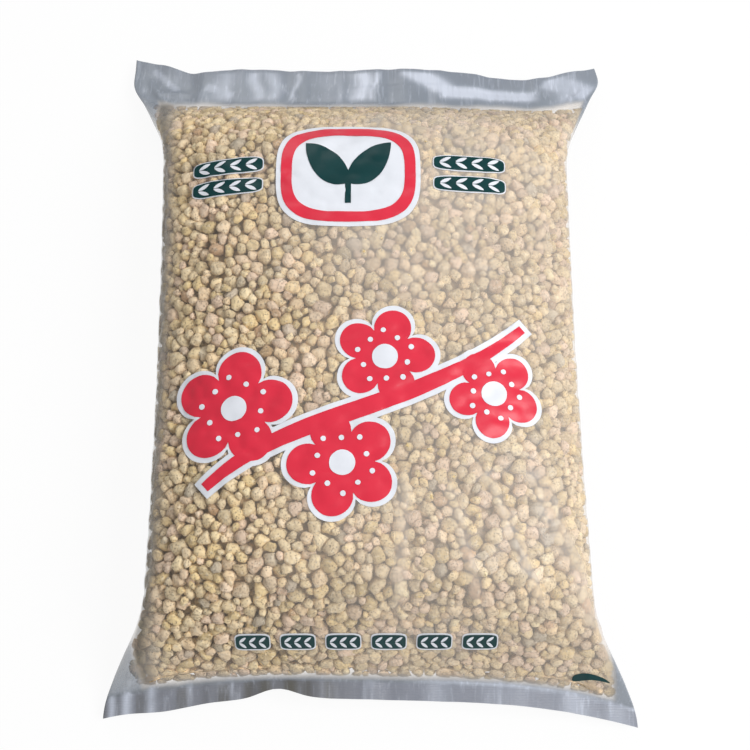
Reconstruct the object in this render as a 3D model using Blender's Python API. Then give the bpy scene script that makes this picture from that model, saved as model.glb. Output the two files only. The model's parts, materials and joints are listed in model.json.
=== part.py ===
"""A clear pillow bag of pumice potting granules, lying on its back as it rests on a floor.

Metres, +Z up. X runs across the film tube, and Y from the bottom seal to the empty header.
The bag is a flat tube of film, sealed across both ends, so its corners stay out as flat ears
while the fill draws the sides in. Every piece is read from one surface, film_point.
"""

import math

import bmesh
import bpy
import numpy as np
from mathutils import Matrix

# Film tube
TUBE_WIDTH = 0.426  # the tube pressed flat, from ear tip to ear tip
BAG_LENGTH = 0.594  # from the bottom seal's ears to the header's ears
FILM = 0.00012
BOTTOM_EAR = 0.088  # over this length an ear runs out into the round side
TOP_EAR = 0.125

# Seals and header
BOTTOM_SEAL = 0.014  # width of the fused band
TOP_SEAL = 0.011
HEADER = 0.038  # from the header's edge down to the fill
HEADER_AIR = 0.0008  # each ply of the header stands this far off its middle
AIR_RAMP = 0.020  # past a seal the plies part over this length
BOTTOM_DIP = 0.017  # how far the fill draws the middle of an edge in from its ears
BOTTOM_DIP_POWER = 3.0  # higher keeps the edge straight for longer
TOP_DIP = 0.014
TOP_DIP_POWER = 6.0
BOTTOM_SKEW = 0.0035  # the right ear lies further out than the edge's middle line
TOP_SKEW = 0.0025  # the left ear does at the header
BOTTOM_SEAL_HEIGHT = 0.025  # middle of the seal above the floor
TOP_SEAL_HEIGHT = 0.029
CORNER_HEIGHT = 0.009
CORNER_POWER = 2.5  # higher holds the seal up nearer to its corners
WAVE_HEIGHT = 0.003  # the seals wave across their width
WAVE_COUNT = 2.5
WAVE_REACH = 0.070
LEAN = 0.006  # the header end lies this far to the left of the bottom end

# Filled body
BODY_WIDTH = 0.347  # at the waist
SWELL = 0.013  # more width towards both ends
FILL_HEIGHT = 0.127
CROWN = 0.008  # the front falls by this much from its middle to the ends
SIDE_HEIGHT = 0.052  # where the round side is widest
BOTTOM_SLOPE = 0.082  # length over which the fill falls to the seal
TOP_SLOPE = 0.104
FRONT_POWER = 2.7  # a superellipse's power: higher is squarer
BACK_POWER = 4.0
FLOOR_PRESS = 1.06  # over 1, the back panel would bulge below the floor and is pressed flat

# Granules
SEAT_GAP = 0.0003  # between the fill and the back panel that it lies on
FILL_GAP = 0.0012  # under the rest of the film
PEBBLE_PITCH = 0.0128
PEBBLE_RELIEF = 0.0068  # from the film down to the deepest gap between pebbles
PEBBLE_SPREAD = 0.35  # share of the relief by which tops, and gaps, differ among themselves
PEBBLE_JITTER = 0.62  # share of a cell that a pebble's corner wanders over
FILL_START = 0.012  # the wedge of granules ends this far inside a seal or the header
SIDE_SHARE = 0.985  # how far across the fill goes, in the body
EAR_EMPTY = 0.19  # the share of the tube's half width that stays empty in an ear

# Vent in the back of the header
VENT = 0.004

# Mesh of the film
FILM_COLUMNS = 22
BODY_ROWS = 11
SLOPE_ROWS = 4

# Print, as thin fields of ink over the front panel
INK = 0.00015
INK_GAP = 0.0003
LAYER_STEP = INK + INK_GAP
EMBLEM_FROM_TOP = 0.166  # emblem's middle below the header's edge
EMBLEM_X = -0.015
EMBLEM_WIDTH = 0.118
EMBLEM_HEIGHT = 0.098
EMBLEM_FRAME = 0.009  # width of the red frame
EMBLEM_RIM = 0.004  # white left outside the frame
EMBLEM_POWER = 3.2
SEEDLING_HEIGHT = 0.056
SEEDLING_SPREAD = 0.070
TILE_WIDTH = 0.058
TILE_HEIGHT = 0.013
TILE_POWER = 4.5
TILE_GAP = 0.006  # between two tiles
TILE_CLEAR = 0.011  # between the emblem and a tile
SPRAY_FROM_BOTTOM = 0.231  # middle of the flower spray above the bottom edge
SPRAY_WIDTH = 0.246
SPRAY_RISE = 0.128  # from the stem's foot to its tip
STEM_WIDTH = 0.014
OUTLINE = 0.0042  # white round the red
BLOSSOM = 0.046  # radius of the largest blossom
BLOSSOM_SHRINK = 0.0035  # each blossom is this much smaller than the last
BLOSSOM_COUNT = 4
BLOSSOM_OFFSET = 0.84  # a blossom's centre lies this share of its radius off the stem
BLOSSOM_FIRST = 0.18  # share of the stem below the first blossom
BLOSSOM_STEP = 0.22  # share of the stem between two blossoms
HEART = 0.0100  # radius of a blossom's white heart
NOTCH = 0.42  # depth of the notch between two petals, as a share of the radius
PETAL_ROUND = 0.7  # lower makes a petal's tip rounder
HALO_NOTCH = 0.36  # the white outline's notches are shallower
DASH_COUNT = 6
DASH_WIDTH = 0.026
DASH_HEIGHT = 0.0085
DASH_GAP = 0.009
DASH_POWER = 5.0
DASH_FROM_BOTTOM = 0.040
STRIPE_LENGTH = 0.030
STRIPE_WIDTH = 0.0055
STRIPE_POWER = 3.0
STRIPE_FROM_SIDE = 0.036  # stripe's middle in from the right ear's tip
STRIPE_FROM_BOTTOM = 0.031

FILM_TINT = (0.56, 0.62, 0.68)
FILM_CLARITY = 0.35
PUMICE = (0.55, 0.44, 0.31)
GREEN_INK = (0.009, 0.060, 0.068)
RED_INK = (0.730, 0.026, 0.060)
WHITE_INK = (0.720, 0.745, 0.800)


def clear_scene():
    for item in list(bpy.data.objects):
        bpy.data.objects.remove(item, do_unlink=True)


def material(name, color, roughness, alpha=1.0):
    made = bpy.data.materials.new(name)
    made.use_nodes = True
    shader = made.node_tree.nodes["Principled BSDF"]
    shader.inputs["Base Color"].default_value = (*color, 1.0)
    shader.inputs["Roughness"].default_value = roughness
    shader.inputs["Metallic"].default_value = 0.0
    shader.inputs["Alpha"].default_value = alpha
    made.diffuse_color = (*color, alpha)
    return made


def ease(value):
    step = np.clip(value, 0.0, 1.0)
    return step * step * (3.0 - 2.0 * step)


def quarter(value):
    """Sine rise from 0 to 1, as granules banked against a seal do."""
    return np.sin(0.5 * math.pi * np.clip(value, 0.0, 1.0))


def end_edge(t, end):
    """Y of the bottom (end -1) or header (end +1) edge, at t across the tube from -1 to 1."""
    dip, power, skew = (TOP_DIP, TOP_DIP_POWER, TOP_SKEW)
    if end < 0:
        dip, power, skew = (BOTTOM_DIP, BOTTOM_DIP_POWER, BOTTOM_SKEW)
    return end * (0.5 * BAG_LENGTH - dip * (1.0 - np.abs(t) ** power)) - skew * t


def body_share(from_low, from_high):
    """0 on the flat ends, 1 in the round body, from the distances to the two edges."""
    return ease(from_low / BOTTOM_EAR) * ease(from_high / TOP_EAR)


def film_point(t, u, side, inset=0.0):
    """A point of the film, t across (-1 to 1) and u along (0 bottom edge, 1 header edge).

    side is +1 for the front panel and -1 for the back, and inset lies inside the outer skin.
    """
    low, high = end_edge(t, -1), end_edge(t, 1)
    y = low + u * (high - low)
    from_low, from_high = y - low, high - y
    nearest = np.minimum(from_low, from_high)
    into_body = body_share(from_low, from_high)
    across = t + (np.sin(0.5 * math.pi * t) - t) * into_body
    power = FRONT_POWER if side > 0 else BACK_POWER
    bulge = np.clip(1.0 - np.abs(across) ** power, 0.0, 1.0) ** (1.0 / power)

    middle = 0.5 * (BODY_WIDTH + SWELL * (2.0 * y / BAG_LENGTH) ** 2)
    half = middle + (0.5 * TUBE_WIDTH - middle) * (1.0 - into_body) - inset
    x = across * half - LEAN * y / BAG_LENGTH

    at_bottom = from_low < from_high
    seal = np.where(at_bottom, BOTTOM_SEAL_HEIGHT, TOP_SEAL_HEIGHT)
    arch = CORNER_HEIGHT + (seal - CORNER_HEIGHT) * (1.0 - np.abs(t) ** CORNER_POWER)
    wave = np.where(at_bottom, -1.0, 1.0) * WAVE_HEIGHT * np.sin(math.pi * WAVE_COUNT * t)
    arch = arch + wave * (1.0 - t**4) * np.clip(1.0 - nearest / WAVE_REACH, 0.0, 1.0)
    centre = arch + (SIDE_HEIGHT - arch) * into_body

    bank = quarter((from_low - BOTTOM_SEAL) / BOTTOM_SLOPE) * quarter((from_high - HEADER) / TOP_SLOPE)
    past_seal = np.minimum(from_low - BOTTOM_SEAL, from_high - TOP_SEAL)
    crown = FILL_HEIGHT - SIDE_HEIGHT - CROWN * (2.0 * y / BAG_LENGTH) ** 2
    reach = crown if side > 0 else SIDE_HEIGHT * FLOOR_PRESS
    lift = (reach * bank + HEADER_AIR * ease(past_seal / AIR_RAMP)) * bulge + FILM - inset
    z = centre + side * np.maximum(lift, 0.0)
    return np.stack([x, y, np.maximum(z, inset)], axis=-1)


def film_rows():
    """Values of u for the film's rows, closer together on the seals and the slopes."""
    slope_low = np.linspace(BOTTOM_SEAL, BOTTOM_SEAL + BOTTOM_SLOPE, SLOPE_ROWS + 2)
    slope_high = np.linspace(HEADER, HEADER + TOP_SLOPE, SLOPE_ROWS + 2)
    low = np.concatenate([[0.0], slope_low]) / BAG_LENGTH
    high = np.concatenate([[0.0, TOP_SEAL, 0.5 * (TOP_SEAL + HEADER)], slope_high]) / BAG_LENGTH
    body = np.linspace(low[-1], 1.0 - high[-1], BODY_ROWS + 1)[1:-1]
    return np.concatenate([low, body, (1.0 - high)[::-1]])


def columns_across(count):
    """Values of t from side to side, closer together at the round sides."""
    even = np.linspace(-1.0, 1.0, count + 1)
    return 0.5 * (even + np.sin(0.5 * math.pi * even))


def film_grid(rows, side, inset=0.0):
    t = columns_across(FILM_COLUMNS)
    return film_point(t[None, :], np.asarray(rows)[:, None], side, inset)


def forward_split(r, c, height, width):
    """Whether a cell's diagonal starts at its first corner: all diagonals run in to the middle."""
    return (2 * r < height) == (2 * c < width)


def facet_point(t, u, side, inset):
    """A point of the film as its mesh has it, on one of the two triangles of a cell."""
    rows, columns = film_rows(), columns_across(FILM_COLUMNS)
    r = int(np.clip(np.searchsorted(rows, u) - 1, 0, len(rows) - 2))
    c = int(np.clip(np.searchsorted(columns, t) - 1, 0, len(columns) - 2))
    along = (u - rows[r]) / (rows[r + 1] - rows[r])
    across = (t - columns[c]) / (columns[c + 1] - columns[c])
    corners = film_point(columns[None, c : c + 2], rows[r : r + 2, None], side, inset)
    near, next_near, far, next_far = corners.reshape(4, 3)
    if forward_split(r, c, len(rows) - 1, len(columns) - 1):
        if across > along:
            return near + across * (next_near - near) + along * (next_far - next_near)
        return near + along * (far - near) + across * (next_far - far)
    if across + along < 1.0:
        return near + across * (next_near - near) + along * (far - near)
    return next_far + (1.0 - across) * (far - next_far) + (1.0 - along) * (next_near - next_far)


def grid_quads(verts, flip=False):
    """Faces over a table of vertices, rows by columns."""
    faces = []
    for r in range(len(verts) - 1):
        for c in range(len(verts[0]) - 1):
            face = [verts[r][c], verts[r][c + 1], verts[r + 1][c + 1], verts[r + 1][c]]
            faces.append(face[::-1] if flip else face)
    return faces


def grid_triangles(verts):
    """Two faces for each cell of a table, so that two skins over the same table stay parallel."""
    height, width = len(verts) - 1, len(verts[0]) - 1
    faces = []
    for r in range(height):
        for c in range(width):
            near, next_near = verts[r][c], verts[r][c + 1]
            far, next_far = verts[r + 1][c], verts[r + 1][c + 1]
            if forward_split(r, c, height, width):
                faces += [[near, next_near, next_far], [near, next_far, far]]
            else:
                faces += [[near, next_near, far], [next_near, next_far, far]]
    return faces


def vertex_table(mesh, points):
    return [[mesh.verts.new(p) for p in row] for row in points]


def finish(mesh, name, look, smooth=True):
    """Turns a bmesh into a named object with one material and its faces pointing out."""
    bmesh.ops.recalc_face_normals(mesh, faces=mesh.faces)
    data = bpy.data.meshes.new(name)
    mesh.to_mesh(data)
    mesh.free()
    data.materials.append(look)
    if smooth:
        data.shade_smooth()
        data.set_sharp_from_angle(angle=math.radians(40.0))
    made = bpy.data.objects.new(name, data)
    bpy.context.scene.collection.objects.link(made)
    return made


def vent_corners(mesh, quad):
    """Four new vertices of a small hole in the middle of a quad."""
    middle = sum((v.co for v in quad[1:]), quad[0].co.copy()) / 4.0
    size = (quad[0].co - quad[1].co).length
    depth = (quad[1].co - quad[2].co).length
    share = 0.5 * (VENT / size + VENT / depth)
    return [mesh.verts.new(middle.lerp(v.co, share)) for v in quad]


def ring_faces(mesh, outer, inner):
    for k in range(len(outer)):
        n = (k + 1) % len(outer)
        mesh.faces.new([outer[k], outer[n], inner[n], inner[k]])


def film_bag(look):
    """One closed shell: an outer and an inner skin, fused flat across both seals."""
    rows = film_rows()
    hollow = rows[1 : len(rows) - 1]
    mesh = bmesh.new()
    front = vertex_table(mesh, film_grid(rows, 1))
    back = vertex_table(mesh, film_grid(rows, -1))
    lining_front = vertex_table(mesh, film_grid(hollow, 1, FILM))
    last = FILM_COLUMNS
    lining_back = [lining_front[0]]
    for shared, line in zip(lining_front[1:-1], film_grid(hollow[1:-1], -1, FILM)):
        lining_back.append([shared[0], *[mesh.verts.new(p) for p in line[1:last]], shared[last]])
    lining_back.append(lining_front[-1])
    r, c = len(hollow) - 2, last // 2
    cut = ((r, c), (r, c + 1), (r - 1, c + 1), (r - 1, c))
    outer_quad = [back[r + 1][c] for r, c in cut]
    inner_quad = [lining_back[r][c] for r, c in cut]

    ends = [(front[0], back[0]), (front[-1], back[-1])]
    sides = [[[line[c] for line in front], [line[c] for line in back]] for c in (0, last)]
    outer_hole = vent_corners(mesh, outer_quad)
    inner_hole = vent_corners(mesh, inner_quad)
    rings = [(rim + rim[:1], hole + hole[:1]) for rim, hole in
             ((outer_quad, outer_hole), (inner_quad, inner_hole), (outer_hole, inner_hole))]
    for skin in [front, back, lining_front, lining_back, *ends, *sides, *rings]:
        for face in grid_triangles(skin):
            if not any(set(face) <= set(quad) for quad in (outer_quad, inner_quad)):
                mesh.faces.new(face)
    return finish(mesh, "film_bag", look)


def fill_reach(u):
    """How far across, as t, the granules go at u: an ear stays empty film."""
    return SIDE_SHARE - EAR_EMPTY * (1.0 - body_share(u * BAG_LENGTH, (1.0 - u) * BAG_LENGTH))


def pumice_fill(look):
    """The granules as one heap with a pebbled skin, just inside the film."""
    random = np.random.default_rng(7)
    start = (BOTTOM_SEAL + FILL_START) / BAG_LENGTH
    stop = 1.0 - (HEADER + FILL_START) / BAG_LENGTH
    row_count = max(8, round((stop - start) * BAG_LENGTH / PEBBLE_PITCH))
    half_columns = max(4, round(0.5 * BODY_WIDTH / PEBBLE_PITCH))
    columns = 2 * half_columns
    u = np.linspace(start, stop, row_count + 1)
    t = columns_across(columns)
    mesh = bmesh.new()

    def pebble(row, column, side):
        wander = PEBBLE_JITTER * (random.random(2) - 0.5)
        across, along = t[column], u[row]
        if 0 < column < columns:
            across += wander[0] * (t[column + 1] - t[column])
        if 0 < row < row_count:
            along += wander[1] * (u[1] - u[0])
        across *= fill_reach(along)
        spread = PEBBLE_SPREAD * random.random()
        hollow = PEBBLE_RELIEF * (1.0 - spread if (row + column) % 2 else spread)
        if side < 0:
            hollow = max(0.0, hollow - 0.5 * PEBBLE_RELIEF)
        seated = side < 0 and facet_point(across, along, side, 0.0)[2] == 0.0
        gap = SEAT_GAP if seated else FILL_GAP
        return mesh.verts.new(facet_point(across, along, side, FILM + gap + hollow))

    front = [[pebble(r, c, 1) for c in range(columns + 1)] for r in range(row_count + 1)]
    back = [[pebble(r, 2 * c, -1) for c in range(half_columns + 1)] for r in range(row_count + 1)]
    faces = grid_quads(front) + grid_quads(back, flip=True)
    for c, under in ((0, 0), (columns, half_columns)):
        faces += grid_quads([[line[c] for line in front], [line[under] for line in back]])
    for face in faces:
        if random.random() < 0.5:
            face = face[1:] + face[:1]
        mesh.faces.new([face[0], face[1], face[2]])
        mesh.faces.new([face[0], face[2], face[3]])
    for r in (0, row_count):
        for c in range(half_columns):
            left, middle, right = front[r][2 * c : 2 * c + 3]
            under, next_under = back[r][c], back[r][c + 1]
            mesh.faces.new([left, middle, under])
            mesh.faces.new([middle, next_under, under])
            mesh.faces.new([middle, right, next_under])
    return finish(mesh, "pumice_fill", look, smooth=False)


def hide(item):
    item.hide_render = True
    item.display_type = "WIRE"
    return item


def ink_sheet(layer, look):
    """The whole front panel as a thin sheet of ink, which each print field is cut from."""
    rows = film_rows()[1:-1]
    mesh = bmesh.new()
    skin = vertex_table(mesh, film_grid(rows, 1))
    for face in grid_triangles(skin):
        mesh.faces.new(face)
    mesh.normal_update()
    base = INK_GAP + layer * LAYER_STEP
    rim = [edge.verts[:] for edge in mesh.edges if edge.is_boundary]
    upper = {v: mesh.verts.new(v.co + v.normal * (base + INK)) for v in list(mesh.verts)}
    for face in list(mesh.faces):
        mesh.faces.new([upper[v] for v in reversed(face.verts)])
    for a, b in rim:
        mesh.faces.new([a, b, upper[b], upper[a]])
    for v in upper:
        v.co += v.normal * base
    return hide(finish(mesh, f"ink_sheet_{layer}", look, smooth=False))


def prism(name, outline, look, hole=None):
    """An upright block over an outline in X and Y, taller than the bag."""
    mesh = bmesh.new()
    low, high = -0.5 * FILL_HEIGHT, 1.5 * FILL_HEIGHT
    loops = [[[mesh.verts.new((x, y, z)) for x, y in points] for z in (low, high)]
             for points in ([outline] if hole is None else [outline, hole])]
    for bottom, top in loops:
        ring_faces(mesh, bottom, top)
    if hole is None:
        mesh.faces.new(loops[0][0])
        mesh.faces.new(loops[0][1])
    else:
        ring_faces(mesh, loops[0][0], loops[1][0])
        ring_faces(mesh, loops[0][1], loops[1][1])
    return finish(mesh, name, look, smooth=False)


def boolean(item, other, operation):
    step = item.modifiers.new(operation.title(), "BOOLEAN")
    step.operation = operation
    step.object = other
    step.solver = "EXACT"


def ink_field(name, outline, look, sheet, hole=None):
    field = prism(name, outline, look, hole)
    boolean(field, sheet, "INTERSECT")
    return field


def superellipse(centre, width, height, power=2.0, count=28):
    points = []
    for k in range(count):
        c, s = math.cos(2 * math.pi * k / count), math.sin(2 * math.pi * k / count)
        x = math.copysign(abs(c) ** (2.0 / power), c) * 0.5 * width
        y = math.copysign(abs(s) ** (2.0 / power), s) * 0.5 * height
        points.append((centre[0] + x, centre[1] + y))
    return points


def petals(centre, radius, turn, depth, lobes=5, count=6):
    """A blossom's outline, round lobes on a polar curve, with notches depth deep as a share of it."""
    points = []
    for k in range(lobes * count):
        angle = 2 * math.pi * k / (lobes * count)
        lobe = abs(math.cos(0.5 * lobes * angle)) ** PETAL_ROUND
        reach = radius * (1.0 - depth + depth * lobe)
        x, y = reach * math.cos(angle + turn), reach * math.sin(angle + turn)
        points.append((centre[0] + x, centre[1] + y))
    return points


def bezier(ends, pulls, s):
    p = [np.array(q, float) for q in (ends[0], pulls[0], pulls[1], ends[1])]
    r = 1.0 - s
    return p[0] * r**3 + 3 * p[1] * r * r * s + 3 * p[2] * r * s * s + p[3] * s**3


def seedling(centre):
    """Two spread leaves on a short stalk."""
    half, top = 0.5 * SEEDLING_SPREAD, 0.5 * SEEDLING_HEIGHT
    fork = (0.0, -0.10 * SEEDLING_HEIGHT)
    stalk = 0.035 * SEEDLING_SPREAD
    tip = (half, top)
    right = [(stalk, -top), (stalk, fork[1] - 0.10 * SEEDLING_HEIGHT)]
    under = ((0.55 * half, -0.55 * top), (1.00 * half, 0.05 * top))
    over = ((0.45 * half, 0.95 * top), (0.12 * half, 0.45 * top))
    right += [tuple(bezier((right[-1], tip), under, k / 8)) for k in range(1, 8)]
    right += [tuple(bezier((tip, (0.0, fork[1] + 0.12 * SEEDLING_HEIGHT)), over, k / 8)) for k in range(9)]
    left = [(-x, y) for x, y in reversed(right[:-1])]
    return [(centre[0] + x, centre[1] + y) for x, y in right + left]


def stem_curve(s):
    """Middle of the flower spray's stem, s from its foot (0) to its tip (1)."""
    y = -0.5 * BAG_LENGTH + SPRAY_FROM_BOTTOM
    half, rise = 0.5 * SPRAY_WIDTH, 0.5 * SPRAY_RISE
    foot, tip = (-half, y - rise), (half, y + rise)
    return bezier((foot, tip), ((-0.45 * half, y - 0.05 * rise), (0.35 * half, y - 0.15 * rise)), s)


def stem_frame(s):
    ahead = stem_curve(min(s + 0.01, 1.0)) - stem_curve(max(s - 0.01, 0.0))
    ahead /= np.linalg.norm(ahead)
    return stem_curve(s), np.array([-ahead[1], ahead[0]])


def stem(extra):
    """A brushed stroke, thick in its middle and thin at both ends, grown by extra all round."""
    left, right = [], []
    for k in range(12):
        s = k / 11
        place, normal = stem_frame(s)
        width = STEM_WIDTH * (0.30 + 0.70 * math.sin(math.pi * (0.12 + 0.80 * s))) * 0.5 + extra
        shift = extra * (s - 0.5) * 2 * np.array([normal[1], -normal[0]])
        left.append(tuple(place + shift + normal * width))
        right.append(tuple(place + shift - normal * width))
    return right + left[::-1]


def blossoms():
    """Centre, radius and turn of each blossom, by turns above and below the stem it joins."""
    placed = []
    for k in range(BLOSSOM_COUNT):
        radius = BLOSSOM - BLOSSOM_SHRINK * k
        place, normal = stem_frame(BLOSSOM_FIRST + BLOSSOM_STEP * k)
        outward = -normal if k % 2 else normal
        turn = math.atan2(-outward[1], -outward[0])
        placed.append((place + outward * BLOSSOM_OFFSET * radius, radius, turn))
    return placed


def print_fields():
    green = material("green_ink", GREEN_INK, 0.35)
    red = material("red_ink", RED_INK, 0.35)
    white = material("white_ink", WHITE_INK, 0.40)
    sheets = [ink_sheet(layer, white) for layer in range(3)]

    emblem = (EMBLEM_X, 0.5 * BAG_LENGTH - EMBLEM_FROM_TOP)
    rim = 2 * EMBLEM_RIM
    inner = rim + 2 * EMBLEM_FRAME
    plate, frame, hole = (
        superellipse(emblem, EMBLEM_WIDTH - less, EMBLEM_HEIGHT - less, EMBLEM_POWER)
        for less in (0.0, rim, inner)
    )
    ink_field("emblem_field", plate, white, sheets[0])
    ink_field("emblem_frame", frame, red, sheets[1], hole)
    ink_field("emblem_seedling", seedling(emblem), green, sheets[1])

    for k in range(4):
        side, row = (-1 if k < 2 else 1), (1 if k % 2 == 0 else -1)
        x = emblem[0] + side * 0.5 * (EMBLEM_WIDTH + TILE_WIDTH + 2 * TILE_CLEAR)
        y = emblem[1] + row * 0.5 * (TILE_HEIGHT + TILE_GAP)
        tile = superellipse((x, y), TILE_WIDTH, TILE_HEIGHT, TILE_POWER, 20)
        ink_field(f"leaf_tile_{k + 1}", tile, green, sheets[0])

    spray = prism("spray_outline", stem(OUTLINE), white)
    flowers = prism("spray", stem(0.0), red)
    for k, (centre, radius, turn) in enumerate(blossoms()):
        halo = prism(f"halo_{k}", petals(centre, radius + OUTLINE, turn, HALO_NOTCH), white)
        boolean(spray, hide(halo), "UNION")
        bloom = prism(f"bloom_{k}", petals(centre, radius, turn, NOTCH), red)
        boolean(flowers, hide(bloom), "UNION")
        heart = superellipse(centre, 2 * HEART, 2 * HEART, 2.0, 14)
        ink_field(f"blossom_heart_{k + 1}", heart, white, sheets[2])
    boolean(spray, sheets[0], "INTERSECT")
    boolean(flowers, sheets[1], "INTERSECT")

    row_width = DASH_COUNT * DASH_WIDTH + (DASH_COUNT - 1) * DASH_GAP
    for k in range(DASH_COUNT):
        x = -0.5 * row_width + 0.5 * DASH_WIDTH + k * (DASH_WIDTH + DASH_GAP)
        y = -0.5 * BAG_LENGTH + DASH_FROM_BOTTOM + BOTTOM_DIP
        dash = superellipse((x, y), DASH_WIDTH, DASH_HEIGHT, DASH_POWER, 16)
        ink_field(f"footer_dash_{k + 1}", dash, green, sheets[0])

    x = 0.5 * TUBE_WIDTH - STRIPE_FROM_SIDE
    y = -0.5 * BAG_LENGTH + STRIPE_FROM_BOTTOM
    stripe = superellipse((x, y), STRIPE_LENGTH, STRIPE_WIDTH, STRIPE_POWER, 16)
    ink_field("corner_stripe", stripe, green, sheets[0])


def centre_on_floor():
    """Moves every piece so that the film's box is centred over the origin."""
    corners = film_grid(film_rows(), 1)
    middle = 0.5 * (corners.reshape(-1, 3).min(axis=0) + corners.reshape(-1, 3).max(axis=0))
    move = Matrix.Translation((-middle[0], -middle[1], 0.0))
    for item in bpy.data.objects:
        item.data.transform(move)


def main():
    clear_scene()
    film_bag(material("clear_film", FILM_TINT, 0.12, FILM_CLARITY))
    pumice_fill(material("pumice", PUMICE, 0.9))
    print_fields()
    centre_on_floor()


main()
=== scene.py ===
"""Looks of a clear pillow bag of pumice potting granules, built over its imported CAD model.

Metres, +Z up, with the bag on its back. X runs across the film tube, Y from the bottom seal
to the empty header. Loose granules, the film with its seals and ears, and the print on the
front each have an operator, and so has the stage.
"""

import itertools
import json
import math

import bpy
import numpy as np
from bpy.props import FloatProperty, FloatVectorProperty, IntProperty, PointerProperty
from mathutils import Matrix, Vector
from mathutils.bvhtree import BVHTree
from mathutils.geometry import delaunay_2d_cdt
from mathutils.kdtree import KDTree

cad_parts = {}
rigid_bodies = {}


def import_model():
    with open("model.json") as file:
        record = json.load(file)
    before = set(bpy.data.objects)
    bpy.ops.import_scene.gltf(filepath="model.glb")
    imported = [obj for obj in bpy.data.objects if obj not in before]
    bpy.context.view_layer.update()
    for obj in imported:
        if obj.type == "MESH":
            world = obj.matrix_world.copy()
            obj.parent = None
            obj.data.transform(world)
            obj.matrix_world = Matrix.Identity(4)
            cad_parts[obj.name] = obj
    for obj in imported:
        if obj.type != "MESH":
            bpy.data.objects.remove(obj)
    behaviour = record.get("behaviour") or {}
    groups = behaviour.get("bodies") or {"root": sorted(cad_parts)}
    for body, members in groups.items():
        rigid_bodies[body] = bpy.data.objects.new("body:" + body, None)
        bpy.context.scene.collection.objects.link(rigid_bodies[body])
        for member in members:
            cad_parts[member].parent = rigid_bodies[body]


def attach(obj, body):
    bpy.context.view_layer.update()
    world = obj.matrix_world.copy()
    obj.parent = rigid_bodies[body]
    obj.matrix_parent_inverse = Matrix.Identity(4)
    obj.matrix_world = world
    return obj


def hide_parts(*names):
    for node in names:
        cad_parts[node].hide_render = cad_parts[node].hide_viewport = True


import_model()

bl_info = {
    "name": "Potting Mix Bag",
    "version": (1, 0, 0),
    "blender": (4, 5, 0),
    "location": "3D View > Sidebar > Potting Bag",
    "description": "Builds a clear pillow bag of pumice granules over its CAD frame",
    "category": "Add Mesh",
}

BODY = "root"
SEED = 11


def length(default, text):
    """One of the sizes in metres. Those below are settings of other kinds."""
    return FloatProperty(description=text, default=default, unit="LENGTH", precision=5)


def share(default, text):
    return FloatProperty(description=text, default=default, subtype="FACTOR")


def number(default, text):
    return FloatProperty(description=text, default=default)


def angle(degrees, text):
    return FloatProperty(description=text, default=math.radians(degrees), subtype="ANGLE")


def count(default, text):
    return IntProperty(description=text, default=default, min=1)


def colour(default, text):
    return FloatVectorProperty(description=text, default=default, subtype="COLOR", size=3)


class TubeSizes(bpy.types.PropertyGroup):
    """The film tube, its two ends and the form that the fill gives it."""

    tube_width: length(0.426, "The tube pressed flat, from ear tip to ear tip")
    bag_length: length(0.594, "From the bottom seal's ears to the header's ears")
    film: length(0.00012, "Thickness of the film")
    bottom_ear: length(0.088, "Length over which a bottom ear runs into the side")
    top_ear: length(0.125, "Length over which a header ear runs into the side")
    bottom_seal: length(0.014, "Width of the fused band at the bottom")
    top_seal: length(0.011, "Width of the fused band at the header")
    header: length(0.038, "From the header's edge down to the fill")
    header_air: length(0.0008, "How far each ply of the header stands off its middle")
    air_ramp: length(0.020, "Length over which the plies part past a seal")
    bottom_dip: length(0.017, "How far the fill draws in the bottom edge")
    bottom_dip_power: number(3.0, "Higher keeps the bottom edge straight")
    top_dip: length(0.014, "How far the fill draws in the header's edge")
    top_dip_power: number(6.0, "Higher keeps the header's edge straight")
    bottom_skew: length(0.0035, "The right ear lies further out than the left")
    top_skew: length(0.0025, "The left header ear lies further out than the right")
    bottom_height: length(0.025, "Middle of the bottom seal above the floor")
    top_height: length(0.029, "Middle of the header's seal above the floor")
    corner_height: length(0.009, "Ear tips above the floor")
    corner_power: number(2.5, "Higher holds the seal up nearer to its corners")
    wave_height: length(0.003, "The seals wave across their width")
    wave_count: number(2.5, "Half waves on each side of the middle")
    wave_reach: length(0.070, "How far the waves run in from an edge")
    lean: length(0.006, "The header end lies this far to the left")
    body_width: length(0.347, "Width at the waist")
    swell: length(0.013, "More width towards both ends")
    fill_height: length(0.127, "Top of the filled bag above the floor")
    crown: length(0.008, "Fall of the front from its middle to the ends")
    side_height: length(0.052, "Where the round side is widest")
    bottom_slope: length(0.082, "Length of the slope down to the bottom seal")
    top_slope: length(0.104, "Length of the slope down to the header")
    front_power: number(2.7, "Higher makes the front squarer")
    back_power: number(4.0, "Higher makes the back squarer")
    floor_press: number(1.06, "How far past the floor the back would bulge")


class GranuleSizes(bpy.types.PropertyGroup):
    """The loose pumice granules."""

    largest: length(0.0076, "Radius of the largest granules")
    smallest: length(0.0034, "Radius of the smallest granules")
    spacing: share(0.66, "Least distance of two granules, as a share of their radii together")
    plump: share(1.42, "How far a granule grows past its radius where it has room")
    joint: length(-0.0005, "Gap between two granules, below 0 where they press together")
    film_gap: length(0.0004, "Least gap between a granule and the film's plain form")
    tuck: length(0.0042, "How far under the film a granule's top may lie")
    under_depth: length(0.0062, "Depth of the second layer under the first")
    core_depth: length(0.012, "Depth of the dark heap under the film")
    first: count(70000, "Places tried for the granules against the film")
    under: count(22000, "Places tried for the granules behind them")


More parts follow.
